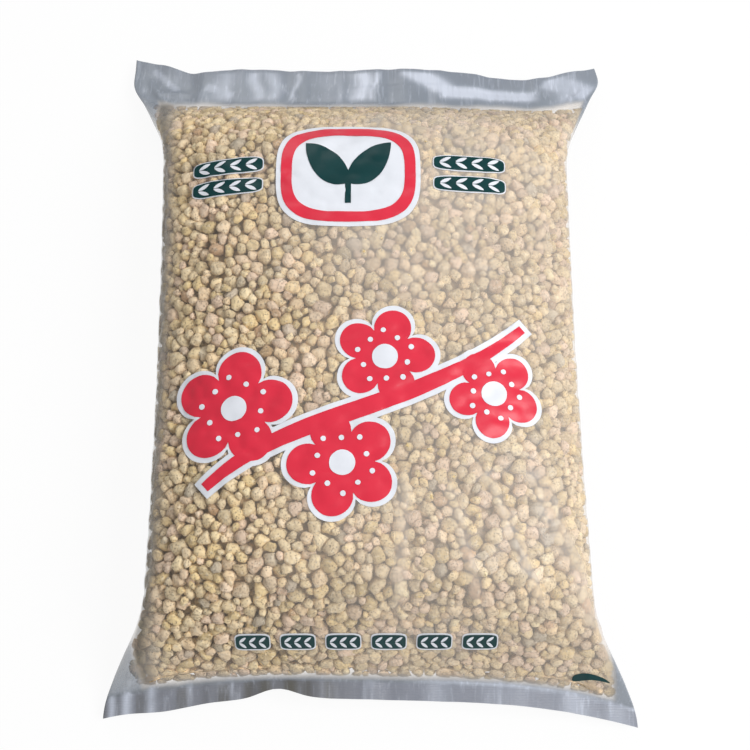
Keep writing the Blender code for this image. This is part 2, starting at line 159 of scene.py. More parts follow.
class PrintSizes(bpy.types.PropertyGroup):
    """The printed fields on the front panel."""

    ink_gap: length(0.0002, "From the film to the first layer of ink")
    ink: length(0.00015, "Thickness of a layer of ink")
    pitch: length(0.0024, "Mesh size at which the ink follows the film")
    emblem_from_top: length(0.166, "Emblem's middle below the header's edge")
    emblem_x: length(-0.015, "Emblem's middle across the bag")
    emblem_width: length(0.118, "Width of the emblem's white field")
    emblem_height: length(0.098, "Height of the emblem's white field")
    emblem_frame: length(0.009, "Width of the red frame")
    emblem_rim: length(0.004, "White left outside the frame")
    emblem_power: number(3.2, "Higher makes the emblem squarer")
    seedling_height: length(0.056, "From the stalk's foot to the leaf tips")
    seedling_spread: length(0.070, "From leaf tip to leaf tip")
    tile_width: length(0.058, "Width of a green bar beside the emblem")
    tile_height: length(0.013, "Height of a green bar")
    tile_gap: length(0.006, "Between two green bars")
    tile_clear: length(0.011, "Between the emblem and a green bar")
    tile_power: number(4.5, "Higher makes the bars squarer")
    spray_from_bottom: length(0.231, "Middle of the spray above the bottom edge")
    spray_width: length(0.246, "Width of the flower spray")
    spray_rise: length(0.128, "From the stem's foot to its tip")
    stem_width: length(0.014, "Thickest part of the stem")
    outline: length(0.0042, "White round the red")
    blossom: length(0.046, "Radius of the largest blossom")
    blossom_shrink: length(0.0035, "Each blossom is smaller by this much")
    blossom_count: count(4, "Number of blossoms")
    blossom_offset: share(0.84, "Share of its radius that a centre lies off the stem")
    blossom_first: share(0.18, "Share of the stem below the first blossom")
    blossom_step: share(0.22, "Share of the stem between two blossoms")
    heart: length(0.0100, "Radius of a blossom's white heart")
    notch: share(0.42, "Depth of the notch between two petals")
    halo_notch: share(0.36, "Depth of the same notch in the white outline")
    petal_round: number(0.7, "Lower makes a petal's tip rounder")
    dash_count: count(6, "Number of green dashes in the footer")
    dash_width: length(0.026, "Width of a dash")
    dash_height: length(0.0085, "Height of a dash")
    dash_gap: length(0.009, "Between two dashes")
    dash_power: number(5.0, "Higher makes the dashes squarer")
    dash_from_bottom: length(0.040, "Dashes above the bottom edge's middle")
    stripe_length: length(0.030, "Length of the green stripe in the ear")
    stripe_width: length(0.0055, "Width of the green stripe")
    stripe_power: number(3.0, "Higher makes the stripe squarer")
    stripe_bend: length(0.0024, "How far the stripe arches")
    rim: length(0.0009, "White round the green bars and dashes")
    dot: length(0.0042, "Width of a white dot round a blossom's heart")
    stripe_from_side: length(0.036, "Stripe's middle in from the ear's tip")
    stripe_from_bottom: length(0.031, "Stripe's middle above the ear's tip")


class Finishes(bpy.types.PropertyGroup):
    """Colours of the film, the granules and the inks, as linear values."""

    cream: colour((0.860, 0.690, 0.430), "Most of the granules")
    straw: colour((0.800, 0.610, 0.310), "Yellower granules")
    blush: colour((0.850, 0.640, 0.470), "Pinkish granules")
    ash: colour((0.500, 0.430, 0.330), "A few greyish granules")
    rust: colour((0.600, 0.370, 0.190), "A few orange granules")
    pore: colour((0.330, 0.230, 0.130), "Dust and shade in the granules' pores")
    # The heap's colour is painted shade: the granules' colours darkened as if deep behind those in front
    depth: colour((0.520, 0.380, 0.220), "The heap behind the granules")
    # Also the colour of the painted glare over the granules, stronger to the right and over the upper
    # middle
    film_haze_and_glare: colour((0.860, 0.780, 0.700), "Milky film where it stands off the granules")
    # Colour of the painted shade along the film's sides and on the bottom seal
    film_dark: colour((0.110, 0.105, 0.090), "Film seen along its side, away from the light")
    # Grey of the empty film: partly the film's own slight blue tint, partly painted shade for darker
    # surroundings seen through it
    film_grey: colour((0.215, 0.250, 0.300), "Empty doubled film")
    # Colour of the painted sheen: streaks and patches of reflected light on the film
    film_sheen: colour((0.560, 0.600, 0.690), "Streaks and milky patches of the film")
    # Like the empty film's grey: partly the fused film's own tint, partly painted shade
    film_seal: colour((0.254, 0.266, 0.322), "Fused film in the seals")
    green: colour((0.003, 0.036, 0.038), "Dark green print")
    red: colour((0.680, 0.022, 0.052), "Red print")
    white: colour((0.720, 0.745, 0.800), "White print")
    floor: colour((0.860, 0.860, 0.860), "Pale studio floor")


class StageSizes(bpy.types.PropertyGroup):
    """Camera, lamps and floor."""

    tilt: angle(18.35, "Camera from straight down")
    distance: length(1.1594, "From the camera to its target")
    target_x: length(0.00685, "Middle of the view across the bag")
    target_y: length(-0.0112, "Middle of the view along the bag")
    target_z: length(0.030, "Middle of the view above the floor")
    lens: number(65.64, "Focal length in millimetres on a 36 mm frame")
    floor_size: length(12.0, "Side of the floor")
    sky: number(0.42, "Strength of the even light from all round")
    key: number(35.0, "Power of the soft key lamp in watts")
    glance: number(6.0, "Power of the soft lamp behind the header in watts")


class PottingBag(bpy.types.PropertyGroup):
    """Everything that the bag is built from."""

    tube: PointerProperty(type=TubeSizes)
    granules: PointerProperty(type=GranuleSizes)
    prints: PointerProperty(type=PrintSizes)
    finishes: PointerProperty(type=Finishes)
    stage: PointerProperty(type=StageSizes)


def ease(value):
    """A soft step from 0 to 1."""
    step = np.clip(value, 0.0, 1.0)
    return step * step * (3.0 - 2.0 * step)


def quarter(value):
    """Sine rise from 0 to 1, as granules banked against a seal do."""
    return np.sin(0.5 * math.pi * np.clip(value, 0.0, 1.0))


def end_edge(tube, t, end):
    """Y of the bottom (end -1) or header (end +1) edge, at t across the tube from -1 to 1."""
    dip, power, skew = tube.top_dip, tube.top_dip_power, tube.top_skew
    if end < 0:
        dip, power, skew = tube.bottom_dip, tube.bottom_dip_power, tube.bottom_skew
    return end * (0.5 * tube.bag_length - dip * (1.0 - np.abs(t) ** power)) - skew * t


def edge_distances(tube, t, u):
    """Distances of a place on the film from the bottom and the header edge, and its Y."""
    low, high = end_edge(tube, t, -1), end_edge(tube, t, 1)
    y = low + u * (high - low)
    return y - low, high - y, y


def body_share(tube, from_low, from_high):
    """0 on the flat ends, 1 in the round body."""
    return ease(from_low / tube.bottom_ear) * ease(from_high / tube.top_ear)


def film_point(tube, t, u, side):
    """A point of the film: t across (-1 to 1), u along (0 to 1), side +1 front and -1 back."""
    from_low, from_high, y = edge_distances(tube, t, u)
    nearest = np.minimum(from_low, from_high)
    into_body = body_share(tube, from_low, from_high)
    across = t + (np.sin(0.5 * math.pi * t) - t) * into_body
    power = tube.front_power if side > 0 else tube.back_power
    bulge = np.clip(1.0 - np.abs(across) ** power, 0.0, 1.0) ** (1.0 / power)

    along = 2.0 * y / tube.bag_length
    middle = 0.5 * (tube.body_width + tube.swell * along**2)
    half = middle + (0.5 * tube.tube_width - middle) * (1.0 - into_body)
    x = across * half - tube.lean * y / tube.bag_length

    at_bottom = from_low < from_high
    seal = np.where(at_bottom, tube.bottom_height, tube.top_height)
    corner = tube.corner_height
    arch = corner + (seal - corner) * (1.0 - np.abs(t) ** tube.corner_power)
    wave = np.where(at_bottom, -1.0, 1.0) * tube.wave_height * np.sin(math.pi * tube.wave_count * t)
    arch = arch + wave * (1.0 - t**4) * np.clip(1.0 - nearest / tube.wave_reach, 0.0, 1.0)
    centre = arch + (tube.side_height - arch) * into_body

    low_bank = quarter((from_low - tube.bottom_seal) / tube.bottom_slope)
    high_bank = quarter((from_high - tube.header) / tube.top_slope)
    past_seal = np.minimum(from_low - tube.bottom_seal, from_high - tube.top_seal)
    crown = tube.fill_height - tube.side_height - tube.crown * along**2
    reach = crown if side > 0 else tube.side_height * tube.floor_press
    air = tube.header_air * ease(past_seal / tube.air_ramp)
    lift = (reach * low_bank * high_bank + air) * bulge + tube.film
    z = centre + side * np.maximum(lift, 0.0)
    return np.stack([x, y, np.maximum(z, 0.0)], axis=-1)


def columns_across(columns):
    """Values of t from side to side, closer together at the round sides."""
    even = np.linspace(-1.0, 1.0, columns + 1)
    return 0.5 * (even + np.sin(0.5 * math.pi * even))


def film_grid(tube, rows, columns, side):
    """Points, t and u over a table of the film, centred over the origin as the CAD model is."""
    t = columns_across(columns)[None, :] + np.zeros((rows + 1, 1))
    u = np.linspace(0.0, 1.0, rows + 1)[:, None] + np.zeros((1, columns + 1))
    return film_point(tube, t, u, side) - frame_shift(tube), t, u


def frame_shift(tube):
    """How far the film's own middle lies from the origin, in X and Y."""
    t = columns_across(22)[None, :]
    points = film_point(tube, t, np.linspace(0.0, 1.0, 41)[:, None], 1).reshape(-1, 3)
    middle = 0.5 * (points.min(axis=0) + points.max(axis=0))
    return np.array([middle[0], middle[1], 0.0])


def grid_normals(points, side):
    """Outward unit normals over a table of points."""
    along = np.gradient(points, axis=0)
    across = np.gradient(points, axis=1)
    normal = np.cross(across, along) * side
    size = np.linalg.norm(normal, axis=-1, keepdims=True)
    return normal / np.maximum(size, 1e-12)


def grid_faces(rows, columns, first=0, flip=False):
    """Corner numbers of the quads over a table of vertices that starts at first."""
    r, c = np.meshgrid(np.arange(rows), np.arange(columns), indexing="ij")
    corner = first + r * (columns + 1) + c
    quads = np.stack([corner, corner + 1, corner + columns + 2, corner + columns + 1], axis=-1)
    quads = quads.reshape(-1, 4)
    return quads[:, ::-1] if flip else quads


def smooth_grid(values, passes):
    """A table of values, each pass averaged with its neighbours."""
    for _ in range(passes):
        padded = np.pad(values, 1, mode="edge")
        cross = padded[1:-1, :-2] + padded[1:-1, 2:] + padded[:-2, 1:-1] + padded[2:, 1:-1]
        values = 0.5 * values + 0.125 * cross
    return values


def mesh_object(name, points, faces, look, smooth=True):
    """A named mesh of one kind of face, riding on the bag's body."""
    data = bpy.data.meshes.new(name)
    corners = faces.shape[1]
    data.vertices.add(len(points))
    data.vertices.foreach_set("co", np.ascontiguousarray(points, np.float32).ravel())
    data.loops.add(len(faces) * corners)
    data.loops.foreach_set("vertex_index", np.ascontiguousarray(faces, np.int32).ravel())
    data.polygons.add(len(faces))
    data.polygons.foreach_set("loop_start", np.arange(0, len(faces) * corners, corners, dtype=np.int32))
    data.update(calc_edges=True)
    data.materials.append(look)
    if smooth:
        data.shade_smooth()
    made = bpy.data.objects.new(name, data)
    bpy.context.scene.collection.objects.link(made)
    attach(made, BODY)
    return made


def store(piece, name, values):
    """A number for each vertex, which the materials read by name."""
    layer = piece.data.attributes.new(name, "FLOAT", "POINT")
    layer.data.foreach_set("value", np.ascontiguousarray(values, np.float32).ravel())


def store_colours(piece, name, values):
    """A colour for each vertex, which the materials read by name."""
    layer = piece.data.attributes.new(name, "FLOAT_COLOR", "POINT")
    rgba = np.concatenate([values, np.ones((len(values), 1))], axis=1)
    layer.data.foreach_set("color", np.ascontiguousarray(rgba, np.float32).ravel())


class Value:
    """A number in a shader: Python's operators on it add Math nodes."""

    def __init__(self, look, socket):
        self.look = look
        self.socket = socket

    def math(self, operation, *others, clamp=False):
        """Adds a Math node that starts from this number."""
        inputs = dict(enumerate((self, *others)))
        return self.look.node("ShaderNodeMath", {"operation": operation, "use_clamp": clamp}, inputs)

    def __add__(self, other):
        return self.math("ADD", other)

    def __radd__(self, other):
        return self.math("ADD", other)

    def __sub__(self, other):
        return self.math("SUBTRACT", other)

    def __rsub__(self, other):
        inputs = {0: other, 1: self}
        return self.look.node("ShaderNodeMath", {"operation": "SUBTRACT"}, inputs)

    def __mul__(self, other):
        return self.math("MULTIPLY", other)

    def clamped(self):
        return self.math("ADD", 0.0, clamp=True)

    def between(self, low, high):
        """0 below low and 1 above high, with a soft step."""
        settings = {"interpolation_type": "SMOOTHSTEP"}
        return self.look.node("ShaderNodeMapRange", settings, {"Value": self, 1: low, 2: high})


class Look:
    """A material under way: its node tree, its Principled shader and what feeds it."""

    def __init__(self, name, **constants):
        self.material = bpy.data.materials.new(name)
        self.material.use_nodes = True
        self.tree = self.material.node_tree
        self.shader = self.tree.nodes["Principled BSDF"]
        for socket, value in constants.items():
            self.feed(socket.replace("_", " ").title().replace("Ior", "IOR"), value)

    def put(self, socket, value):
        """Links a number or colour to a socket, or sets its constant."""
        if isinstance(value, Value):
            self.tree.links.new(value.socket, socket)
        elif socket.type == "RGBA" and len(value) == 3:
            socket.default_value = (*value, 1.0)
        else:
            socket.default_value = value

    def node(self, kind, settings=None, inputs=None, output=0):
        """Adds a node: its settings first, then what its sockets hold or are linked to."""
        made = self.tree.nodes.new(kind)
        for key, value in (settings or {}).items():
            setattr(made, key, value)
        for key, value in (inputs or {}).items():
            self.put(made.inputs[key], value)
        return Value(self, made.outputs[output])

    def feed(self, socket, value):
        self.put(self.shader.inputs[socket], value)

    def attribute(self, name, output="Fac"):
        return self.node("ShaderNodeAttribute", {"attribute_name": name}, output=output)

    def place(self, stretch=(1.0, 1.0, 1.0)):
        """A place on the object, stretched before a texture reads it."""
        where = self.node("ShaderNodeTexCoord", output="Object")
        settings = {"operation": "MULTIPLY"}
        return self.node("ShaderNodeVectorMath", settings, {0: where, 1: stretch})

    def noise(self, scale, detail=3.0, roughness=0.55, where=None):
        inputs = {"Vector": where or self.place(), "Scale": scale, "Detail": detail, "Roughness": roughness}
        return self.node("ShaderNodeTexNoise", None, inputs, output="Fac")

    def cells(self, scale):
        """Distance to the nearest of many scattered points."""
        inputs = {"Vector": self.place(), "Scale": scale}
        return self.node("ShaderNodeTexVoronoi", {"feature": "F1"}, inputs, output="Distance")

    def blend(self, amount, first, second):
        """One colour going over into another."""
        inputs = {0: amount, 6: first, 7: second}
        return self.node("ShaderNodeMix", {"data_type": "RGBA"}, inputs, output=2)

    def bump(self, height, distance, strength=1.0):
        inputs = {"Height": height, "Distance": distance, "Strength": strength}
        self.feed("Normal", self.node("ShaderNodeBump", None, inputs, output="Normal"))


def pumice_look(finishes):
    """Dry porous pumice: each granule's own colour, mottled and lighter on its raised spots as painted
    highlight, with pores darkened as dust and painted shade.
    """
    look = Look("pumice_granules", roughness=0.92, specular_ior_level=0.25)
    mottle = look.noise(300.0, 4.0, 0.70)
    pores = 1.0 - look.cells(560.0).between(0.08, 0.40)
    broad = look.noise(150.0, 2.0, 0.5)
    own = look.attribute("granule", "Color")
    # Painted highlight: where the mottle stands higher, the granule is lighter
    lighter = look.blend(mottle.between(0.50, 0.72) * 0.55, own, (0.92, 0.84, 0.68))
    darker = look.blend((1.0 - broad.between(0.30, 0.50)) * 0.40, lighter, finishes.pore)
    # Pores darkened towards the pore colour: dust, and painted shade in their hollows
    look.feed("Base Color", look.blend(pores * 0.38, darker, finishes.pore))
    height = mottle * 0.7 + look.noise(900.0, 2.0, 0.6) * 0.3 - pores * 0.6
    look.bump(height, 0.0022, 0.90)
    return look.material


def depth_look(finishes):
    """The heap behind the visible granules, in their shade."""
    look = Look("pumice_depth", roughness=0.95, specular_ior_level=0.1)
    lumps = look.cells(115.0)
    # Painted light and shade: each lump is lighter at its middle and darker towards its sides
    painted_lit = tuple(2.2 * c for c in finishes.depth)
    tone = look.blend(lumps.between(0.15, 0.55), painted_lit, finishes.depth)
    look.feed("Base Color", tone)
    look.bump(1.0 - lumps, 0.004)
    return look.material


def film_look(finishes):
    """Clear polyethylene: nearly invisible where it lies on the granules, grey-blue where it is empty,
    partly as painted shade, with painted glare, sheen and shade over it.
    """
    look = Look("clear_film", ior=1.50, specular_ior_level=0.40)
    empty = look.attribute("empty")
    seal = look.attribute("seal")
    light = look.attribute("light")
    haze_and_glare = look.attribute("haze_and_glare")
    fine = look.noise(24.0, 4.0, 0.6)
    drawn = look.noise(60.0, 3.0, 0.55, look.place((1.0, 0.12, 1.0)))
    hairs = look.noise(260.0, 3.0, 0.6, look.place((1.0, 0.07, 1.0)))
    # Milkiness, partly painted glare of reflected light, as haze colour and opacity
    milky_and_glare = (haze_and_glare * (fine.between(0.30, 0.72) * 0.25 + 0.75)).clamped()
    # Painted sheen: the light mask and faint streaks in the empty film, lighter and more opaque
    faint = drawn.between(0.54, 0.76) * 0.40 + hairs.between(0.50, 0.75) * 0.30
    streaks = (light * (hairs * 0.6 + 0.7) + faint * empty).clamped()
    # Painted shade: the shade mask darkens the film and makes it more opaque
    dark = look.attribute("shade")
    # Over the fill the haze and glare colour, where empty a grey that is partly painted shade
    body = look.blend(empty, finishes.film_haze_and_glare, finishes.film_grey)
    body = look.blend(seal * 0.75, body, finishes.film_seal)
    body = look.blend(dark, body, finishes.film_dark)
    look.feed("Base Color", look.blend(streaks, body, finishes.film_sheen))
    over_fill = 0.04 + milky_and_glare * 0.33 + dark * 0.66
    look.feed("Alpha", (over_fill + empty * 0.40 + seal * 0.12 + streaks * 0.25).clamped())
    look.feed("Roughness", 0.16 + fine * 0.12 + seal * 0.12)
    crimp = {"Vector": look.place(), "Scale": 260.0, "Distortion": 1.2}
    ridges = look.node("ShaderNodeTexWave", {"bands_direction": "Y"}, crimp, output="Fac")
    look.bump(fine * 0.6 + ridges * seal * 0.25 + drawn * empty * 0.8, 0.0012, 0.6)
    return look.material


def ink_look(name, tone, patch_light_shade, gloss):
    """Flexible ink on film: an even coat with soft patches painted lighter or darker, as light and shade
    over the film's waves.
    """
    look = Look(name, specular_ior_level=gloss)
    coat = look.noise(38.0, 4.0, 0.6)
    fine = look.noise(420.0, 2.0, 0.5)
    # Painted light and shade: soft patches of the ink, lighter or darker by the given factor
    shade = tuple(c * patch_light_shade for c in tone)
    look.feed("Base Color", look.blend(coat.between(0.35, 0.75) * 0.55, tone, shade))
    look.feed("Roughness", 0.30 + coat * 0.16)
    look.bump(coat * 0.8 + fine * 0.2, 0.0006, 0.5)
    return look.material


JUST_INSIDE = 0.0004  # rays start this far under the film


def film_tree(tube, rows=110, columns=84):
    """The whole film as a tree for rays, front and back."""
    front, back = (film_grid(tube, rows, columns, side)[0] for side in (1, -1))
    first = front.shape[0] * front.shape[1]
    points = np.concatenate([front.reshape(-1, 3), back.reshape(-1, 3)])
    quads = np.concatenate([grid_faces(rows, columns), grid_faces(rows, columns, first, flip=True)])
    return BVHTree.FromPolygons(points.tolist(), quads.tolist())


def room_behind(tree, point, normal):
    """How far it is from one place of the film to the film across from it."""
    inward = -Vector(normal)
    hit = tree.ray_cast(Vector(point) + inward * JUST_INSIDE, inward)
    return hit[3] if hit[0] is not None else 0.0


def scatter_places(tube, tree, tries, random):
    """Random places evenly over the film's area: point, outward normal, room behind it, t and u."""
    rows, columns = 150, 120
    grids = [film_grid(tube, rows, columns, side) for side in (1, -1)]
    cells, weights = [], []
    for (points, t, u), side in zip(grids, (1, -1)):
        normals = grid_normals(points, side)
        across = points[:-1, 1:] - points[:-1, :-1]
        along = points[1:, :-1] - points[:-1, :-1]
        weights.append(np.linalg.norm(np.cross(across, along), axis=-1).ravel())
        cells.append((points, normals, t, u))
    weights = np.concatenate(weights)
    picks = random.choice(len(weights), size=tries, p=weights / weights.sum())
    front_cells = rows * columns
    found = []
    for half, (points, normals, t, u) in enumerate(cells):
        chosen = picks[picks // front_cells == half] % front_cells
        r, c = chosen // columns, chosen % columns
        a, b = random.random((2, len(chosen)))

        def mixed(table, a=a, b=b, r=r, c=c):
            a, b = (a[:, None], b[:, None]) if table.ndim == 3 else (a, b)
            near = table[r, c] * (1 - a) + table[r, c + 1] * a
            far = table[r + 1, c] * (1 - a) + table[r + 1, c + 1] * a
            return near * (1 - b) + far * b

        normal = mixed(normals)
        normal /= np.linalg.norm(normal, axis=1, keepdims=True)
        found.append((mixed(points), normal, mixed(t), mixed(u), np.full(len(chosen), half)))
    point, normal, t, u, half = (np.concatenate(parts) for parts in zip(*found))
    order = random.permutation(len(point))
    point, normal, t, u, half = (part[order] for part in (point, normal, t, u, half))
    room = np.array([room_behind(tree, p, n) for p, n in zip(point, normal)])
    return point, normal, room, t, u, half


NEEDED_ROOM = 1.35  # room between the plies that a granule needs, in radii


def fill_sides(tube, t, u):
    """How far granules reach to the left and right: the ears stay empty, the left ones more."""
    from_low, from_high, _ = edge_distances(tube, t, u)
    flat = 1.0 - body_share(tube, from_low, from_high)
    left = -0.985 + np.where(from_low < from_high, 0.14, 0.12) * flat
    right = 0.985 - np.where(from_low < from_high, 0.09, 0.05) * flat
    return left, right


def may_hold(tube, room, t, u, radius):
    """Whether a granule fits between the plies, clear of both seals and of the ears."""
    from_low, from_high, _ = edge_distances(tube, t, u)
    left, right = fill_sides(tube, t, u)
    clear = (from_low > tube.bottom_seal + 0.0015) & (from_high > tube.header + 0.0005)
    return (room > NEEDED_ROOM * radius) & (t > left) & (t < right) & clear


# Columns of the table of granules
CENTRE, RADIUS, OUTWARD = slice(0, 3), 3, slice(4, 7)
LAYER, PANEL, DEPTH = 7, 8, 9


def pack_granules(bag, tree):
    """The table of granules: they touch their neighbours but don't run into them."""
    tube, sizes = bag.tube, bag.granules
    random = np.random.default_rng(SEED)
    cell_size = 2.0 * sizes.largest
    grid, kept = {}, []
    mid = 0.5 * (sizes.largest + sizes.smallest)
    classes = ((sizes.largest, 0.04), (0.5 * (sizes.largest + mid), 0.14), (mid, 0.34),
               (0.5 * (mid + sizes.smallest), 0.26), (sizes.smallest, 0.22))
    plans = ((sizes.first, 0.0, sizes.tuck, 0), (sizes.under, sizes.under_depth, 0.006, 1))

    def is_clear(centre, radius, cell):
        """Whether nothing that is kept so far lies too near."""
        for around in itertools.product(*((c - 1, c, c + 1) for c in cell)):
            for x, y, z, other in grid.get(around, ()):
                gap = (x - centre[0]) ** 2 + (y - centre[1]) ** 2 + (z - centre[2]) ** 2
                if gap < (sizes.spacing * (other + radius)) ** 2:
                    return False
        return True

    for tries, below, spread, layer in plans:
        point, normal, room, t, u, half = scatter_places(tube, tree, tries, random)
        start = 0
        for radius, part in classes:
            if layer and radius < mid:
                break
            stop = start + int(part * tries)
            own = radius * random.uniform(0.93, 1.07, stop - start)
            fits = may_hold(tube, room[start:stop] - below, t[start:stop], u[start:stop], own)
            tuck = below + spread * random.random(stop - start) ** 1.5
            for k in np.nonzero(fits)[0]:
                n, r = normal[start + k], own[k]
                deep = min(0.80 * r + sizes.film_gap + tuck[k], 0.5 * room[start + k] + 0.0002)
                deep = max(deep, 0.55 * r)
                centre = point[start + k] - n * deep
                cell = tuple((centre // cell_size).astype(int))
                if is_clear(centre, r, cell):
                    grid.setdefault(cell, []).append((*centre, r))
                    kept.append((*centre, r, *n, layer, half[start + k], deep))
            start = stop
    return np.array(kept)


def granule_template(cuts):
    """Directions, triangles and unfolded corners of an eight-sided ball with its edges cut in parts."""
    places, directions, triangles, unfolded = {}, [], [], []

    def vertex(i, j, k, signs):
        key = (i * signs[0], j * signs[1], k * signs[2])
        if key not in places:
            places[key] = len(directions)
            directions.append(key)
        return places[key]

    def unfold(i, j, _, signs):
        x, y = i / cuts, j / cuts
        if signs[2] < 0:
            x, y = 1.0 - y, 1.0 - x
        return 0.5 + 0.5 * x * signs[0], 0.5 + 0.5 * y * signs[1]

    for sx in (1, -1):
        for sy in (1, -1):
            for sz in (1, -1):
                signs = (sx, sy, sz)
                for i in range(cuts):
                    for j in range(cuts - i):
                        up = [(i, j), (i + 1, j), (i, j + 1)]
                        down = [(i + 1, j), (i + 1, j + 1), (i, j + 1)]
                        for corners in (up, down) if i + j + 1 < cuts else (up,):
                            if sx * sy * sz < 0:
                                corners = corners[::-1]
                            full = [(a, b, cuts - a - b) for a, b in corners]
                            triangles.append([vertex(*c, signs) for c in full])
                            unfolded.append([unfold(*c, signs) for c in full])
    directions = np.array(directions, float)
    directions /= np.linalg.norm(directions, axis=1, keepdims=True)
    return directions, np.array(triangles), np.array(unfolded)


def random_turns(size, random):
    """Rotation matrices, evenly over all turns."""
    q = random.normal(size=(size, 4))
    q /= np.linalg.norm(q, axis=1, keepdims=True)
    w, x, y, z = q.T
    rows = [1 - 2 * (y * y + z * z), 2 * (x * y - z * w), 2 * (x * z + y * w),
            2 * (x * y + z * w), 1 - 2 * (x * x + z * z), 2 * (y * z - x * w),
            2 * (x * z - y * w), 2 * (y * z + x * w), 1 - 2 * (x * x + y * y)]
    return np.stack(rows, axis=1).reshape(-1, 3, 3)


BREAKS = 7  # flat breaks on a granule
TILT = 0.24  # how far a contact between two granules leans from square
FAR = 9.0  # a reach in radii that cuts nothing off
SHARPNESS = 22.0  # higher leaves crisper edges between the flats
LUMPINESS = 0.07
END_SLOPE = 0.15  # past this distance from the bag's middle the film curves in
FOOT_CLEAR = 0.0035  # granules end this far above the bottom seal
HEAD_CLEAR = 0.0030  # and this far below the header
END_SLACK = 0.0024  # more room under the film towards its two ends
FLOOR_FACING = -0.75  # granules that look down more than this lie on the floor


def neighbour_planes(places, chosen, sizes, random, most=12):
    """For each chosen granule, directions to its neighbours and how far it may reach towards each."""
    tree = KDTree(len(places))
    for k, place in enumerate(places[:, CENTRE]):
        tree.insert(place, k)
    tree.balance()
    toward = np.zeros((len(chosen), most, 3))
    limits = np.full((len(chosen), most), FAR)
    for row, k in enumerate(chosen):
        radius, centre = places[k, RADIUS], places[k, CENTRE]
        for slot, (there, other, away) in enumerate(tree.find_n(centre, most + 1)[1:]):
            askew = TILT * random.normal(size=3)
            toward[row, slot] = (np.array(there) - centre) / away + askew
            part = radius / (radius + places[other, RADIUS])
            limits[row, slot] = (away * part - 0.5 * sizes.joint) / radius
    toward /= np.maximum(np.linalg.norm(toward, axis=2, keepdims=True), 1e-9)
    return toward, limits


def granule_shapes(sizes, places, chosen, directions, random):
    """Vertices of every chosen granule: a lump with flat breaks that fits between its neighbours."""
    total = len(chosen)
    own = places[chosen]
    centres, radii, outward = own[:, CENTRE], own[:, RADIUS], own[:, OUTWARD]
    turns = random_turns(total, random)
    stretch = random.uniform(0.64, 1.40, (total, 3))
    stretch /= np.cbrt(stretch.prod(axis=1))[:, None]
    balls = np.einsum("gij,vj->gvi", turns, directions)
    breaks = random.normal(size=(total, BREAKS, 3))
    breaks /= np.linalg.norm(breaks, axis=2, keepdims=True)
    toward, limits = neighbour_planes(places, chosen, sizes, random)
    under_film = (own[:, DEPTH] - sizes.film_gap) / radii
    planes = np.concatenate([breaks, toward, outward[:, None, :]], axis=1)
    broken = random.uniform(0.60, 1.15, (total, BREAKS))
    offsets = np.concatenate([broken, limits, under_film[:, None]], axis=1)
    facing = np.einsum("gvi,gki->gvk", balls, planes)
    cut = np.where(facing > 0.05, offsets[:, None, :] / np.maximum(facing, 0.05), FAR)
    local = np.einsum("gji,gvj->gvi", turns, balls) / stretch[:, None, :]
    grown = sizes.plump / np.linalg.norm(local, axis=2)
    lumps = np.zeros((total, len(directions)))
    for pitch in (2.4, 2.4, 4.0, 5.0):
        ahead = random.normal(size=(total, 3)) * pitch
        lumps += np.sin(np.einsum("gvi,gi->gv", balls, ahead) + random.uniform(0, 6.28, (total, 1)))
    grown *= 1.0 + LUMPINESS * lumps
    reach = (np.maximum(cut, 0.15) ** -SHARPNESS).sum(axis=2) + grown**-SHARPNESS
    rough = (1.0 + 0.05 * np.minimum(lumps, 0.0)) * random.uniform(0.88, 1.0, reach.shape)
    reach = reach ** (-1.0 / SHARPNESS) * rough
    return centres[:, None, :] + balls * (reach * radii[:, None])[:, :, None]


def keep_under_film(tube, shapes, places, tree, gap):
    """Draws in what would stand out of the film, on the slopes down to the two ends."""
    shift = frame_shift(tube)
    t = np.clip((shapes[..., 0] + shift[0]) / (0.5 * tube.tube_width), -1.0, 1.0)
    low = end_edge(tube, t, -1) + tube.bottom_seal + FOOT_CLEAR - shift[1]
    high = end_edge(tube, t, 1) - tube.header - HEAD_CLEAR - shift[1]
    shapes[..., 1] = np.clip(shapes[..., 1], low, high)
    for k in np.nonzero(np.abs(places[:, 1]) > END_SLOPE)[0]:
        slack = gap + END_SLACK * ease((abs(places[k, 1]) - 0.20) / 0.05)
        for v, point in enumerate(shapes[k]):
            place = Vector(point)
            there, normal, _, _ = tree.find_nearest(place)
            out = (place - there).dot(normal) + slack
            if out > 0.0:
                shapes[k, v] = place - normal * out


def granule_colours(finishes, total, random):
    """One colour for each granule, mostly creams, with a few strays."""
    palette = np.array([finishes.cream, finishes.straw, finishes.blush, finishes.ash, finishes.rust])
    pick = random.choice(len(palette), size=total, p=(0.46, 0.27, 0.20, 0.05, 0.02))
    other = random.choice(3, size=total)
    mixing = random.uniform(0.0, 0.55, (total, 1))
    tones = palette[pick] * (1.0 - mixing) + palette[other] * mixing
    return np.clip(tones * random.uniform(0.80, 1.16, (total, 1)), 0.0, 0.95)


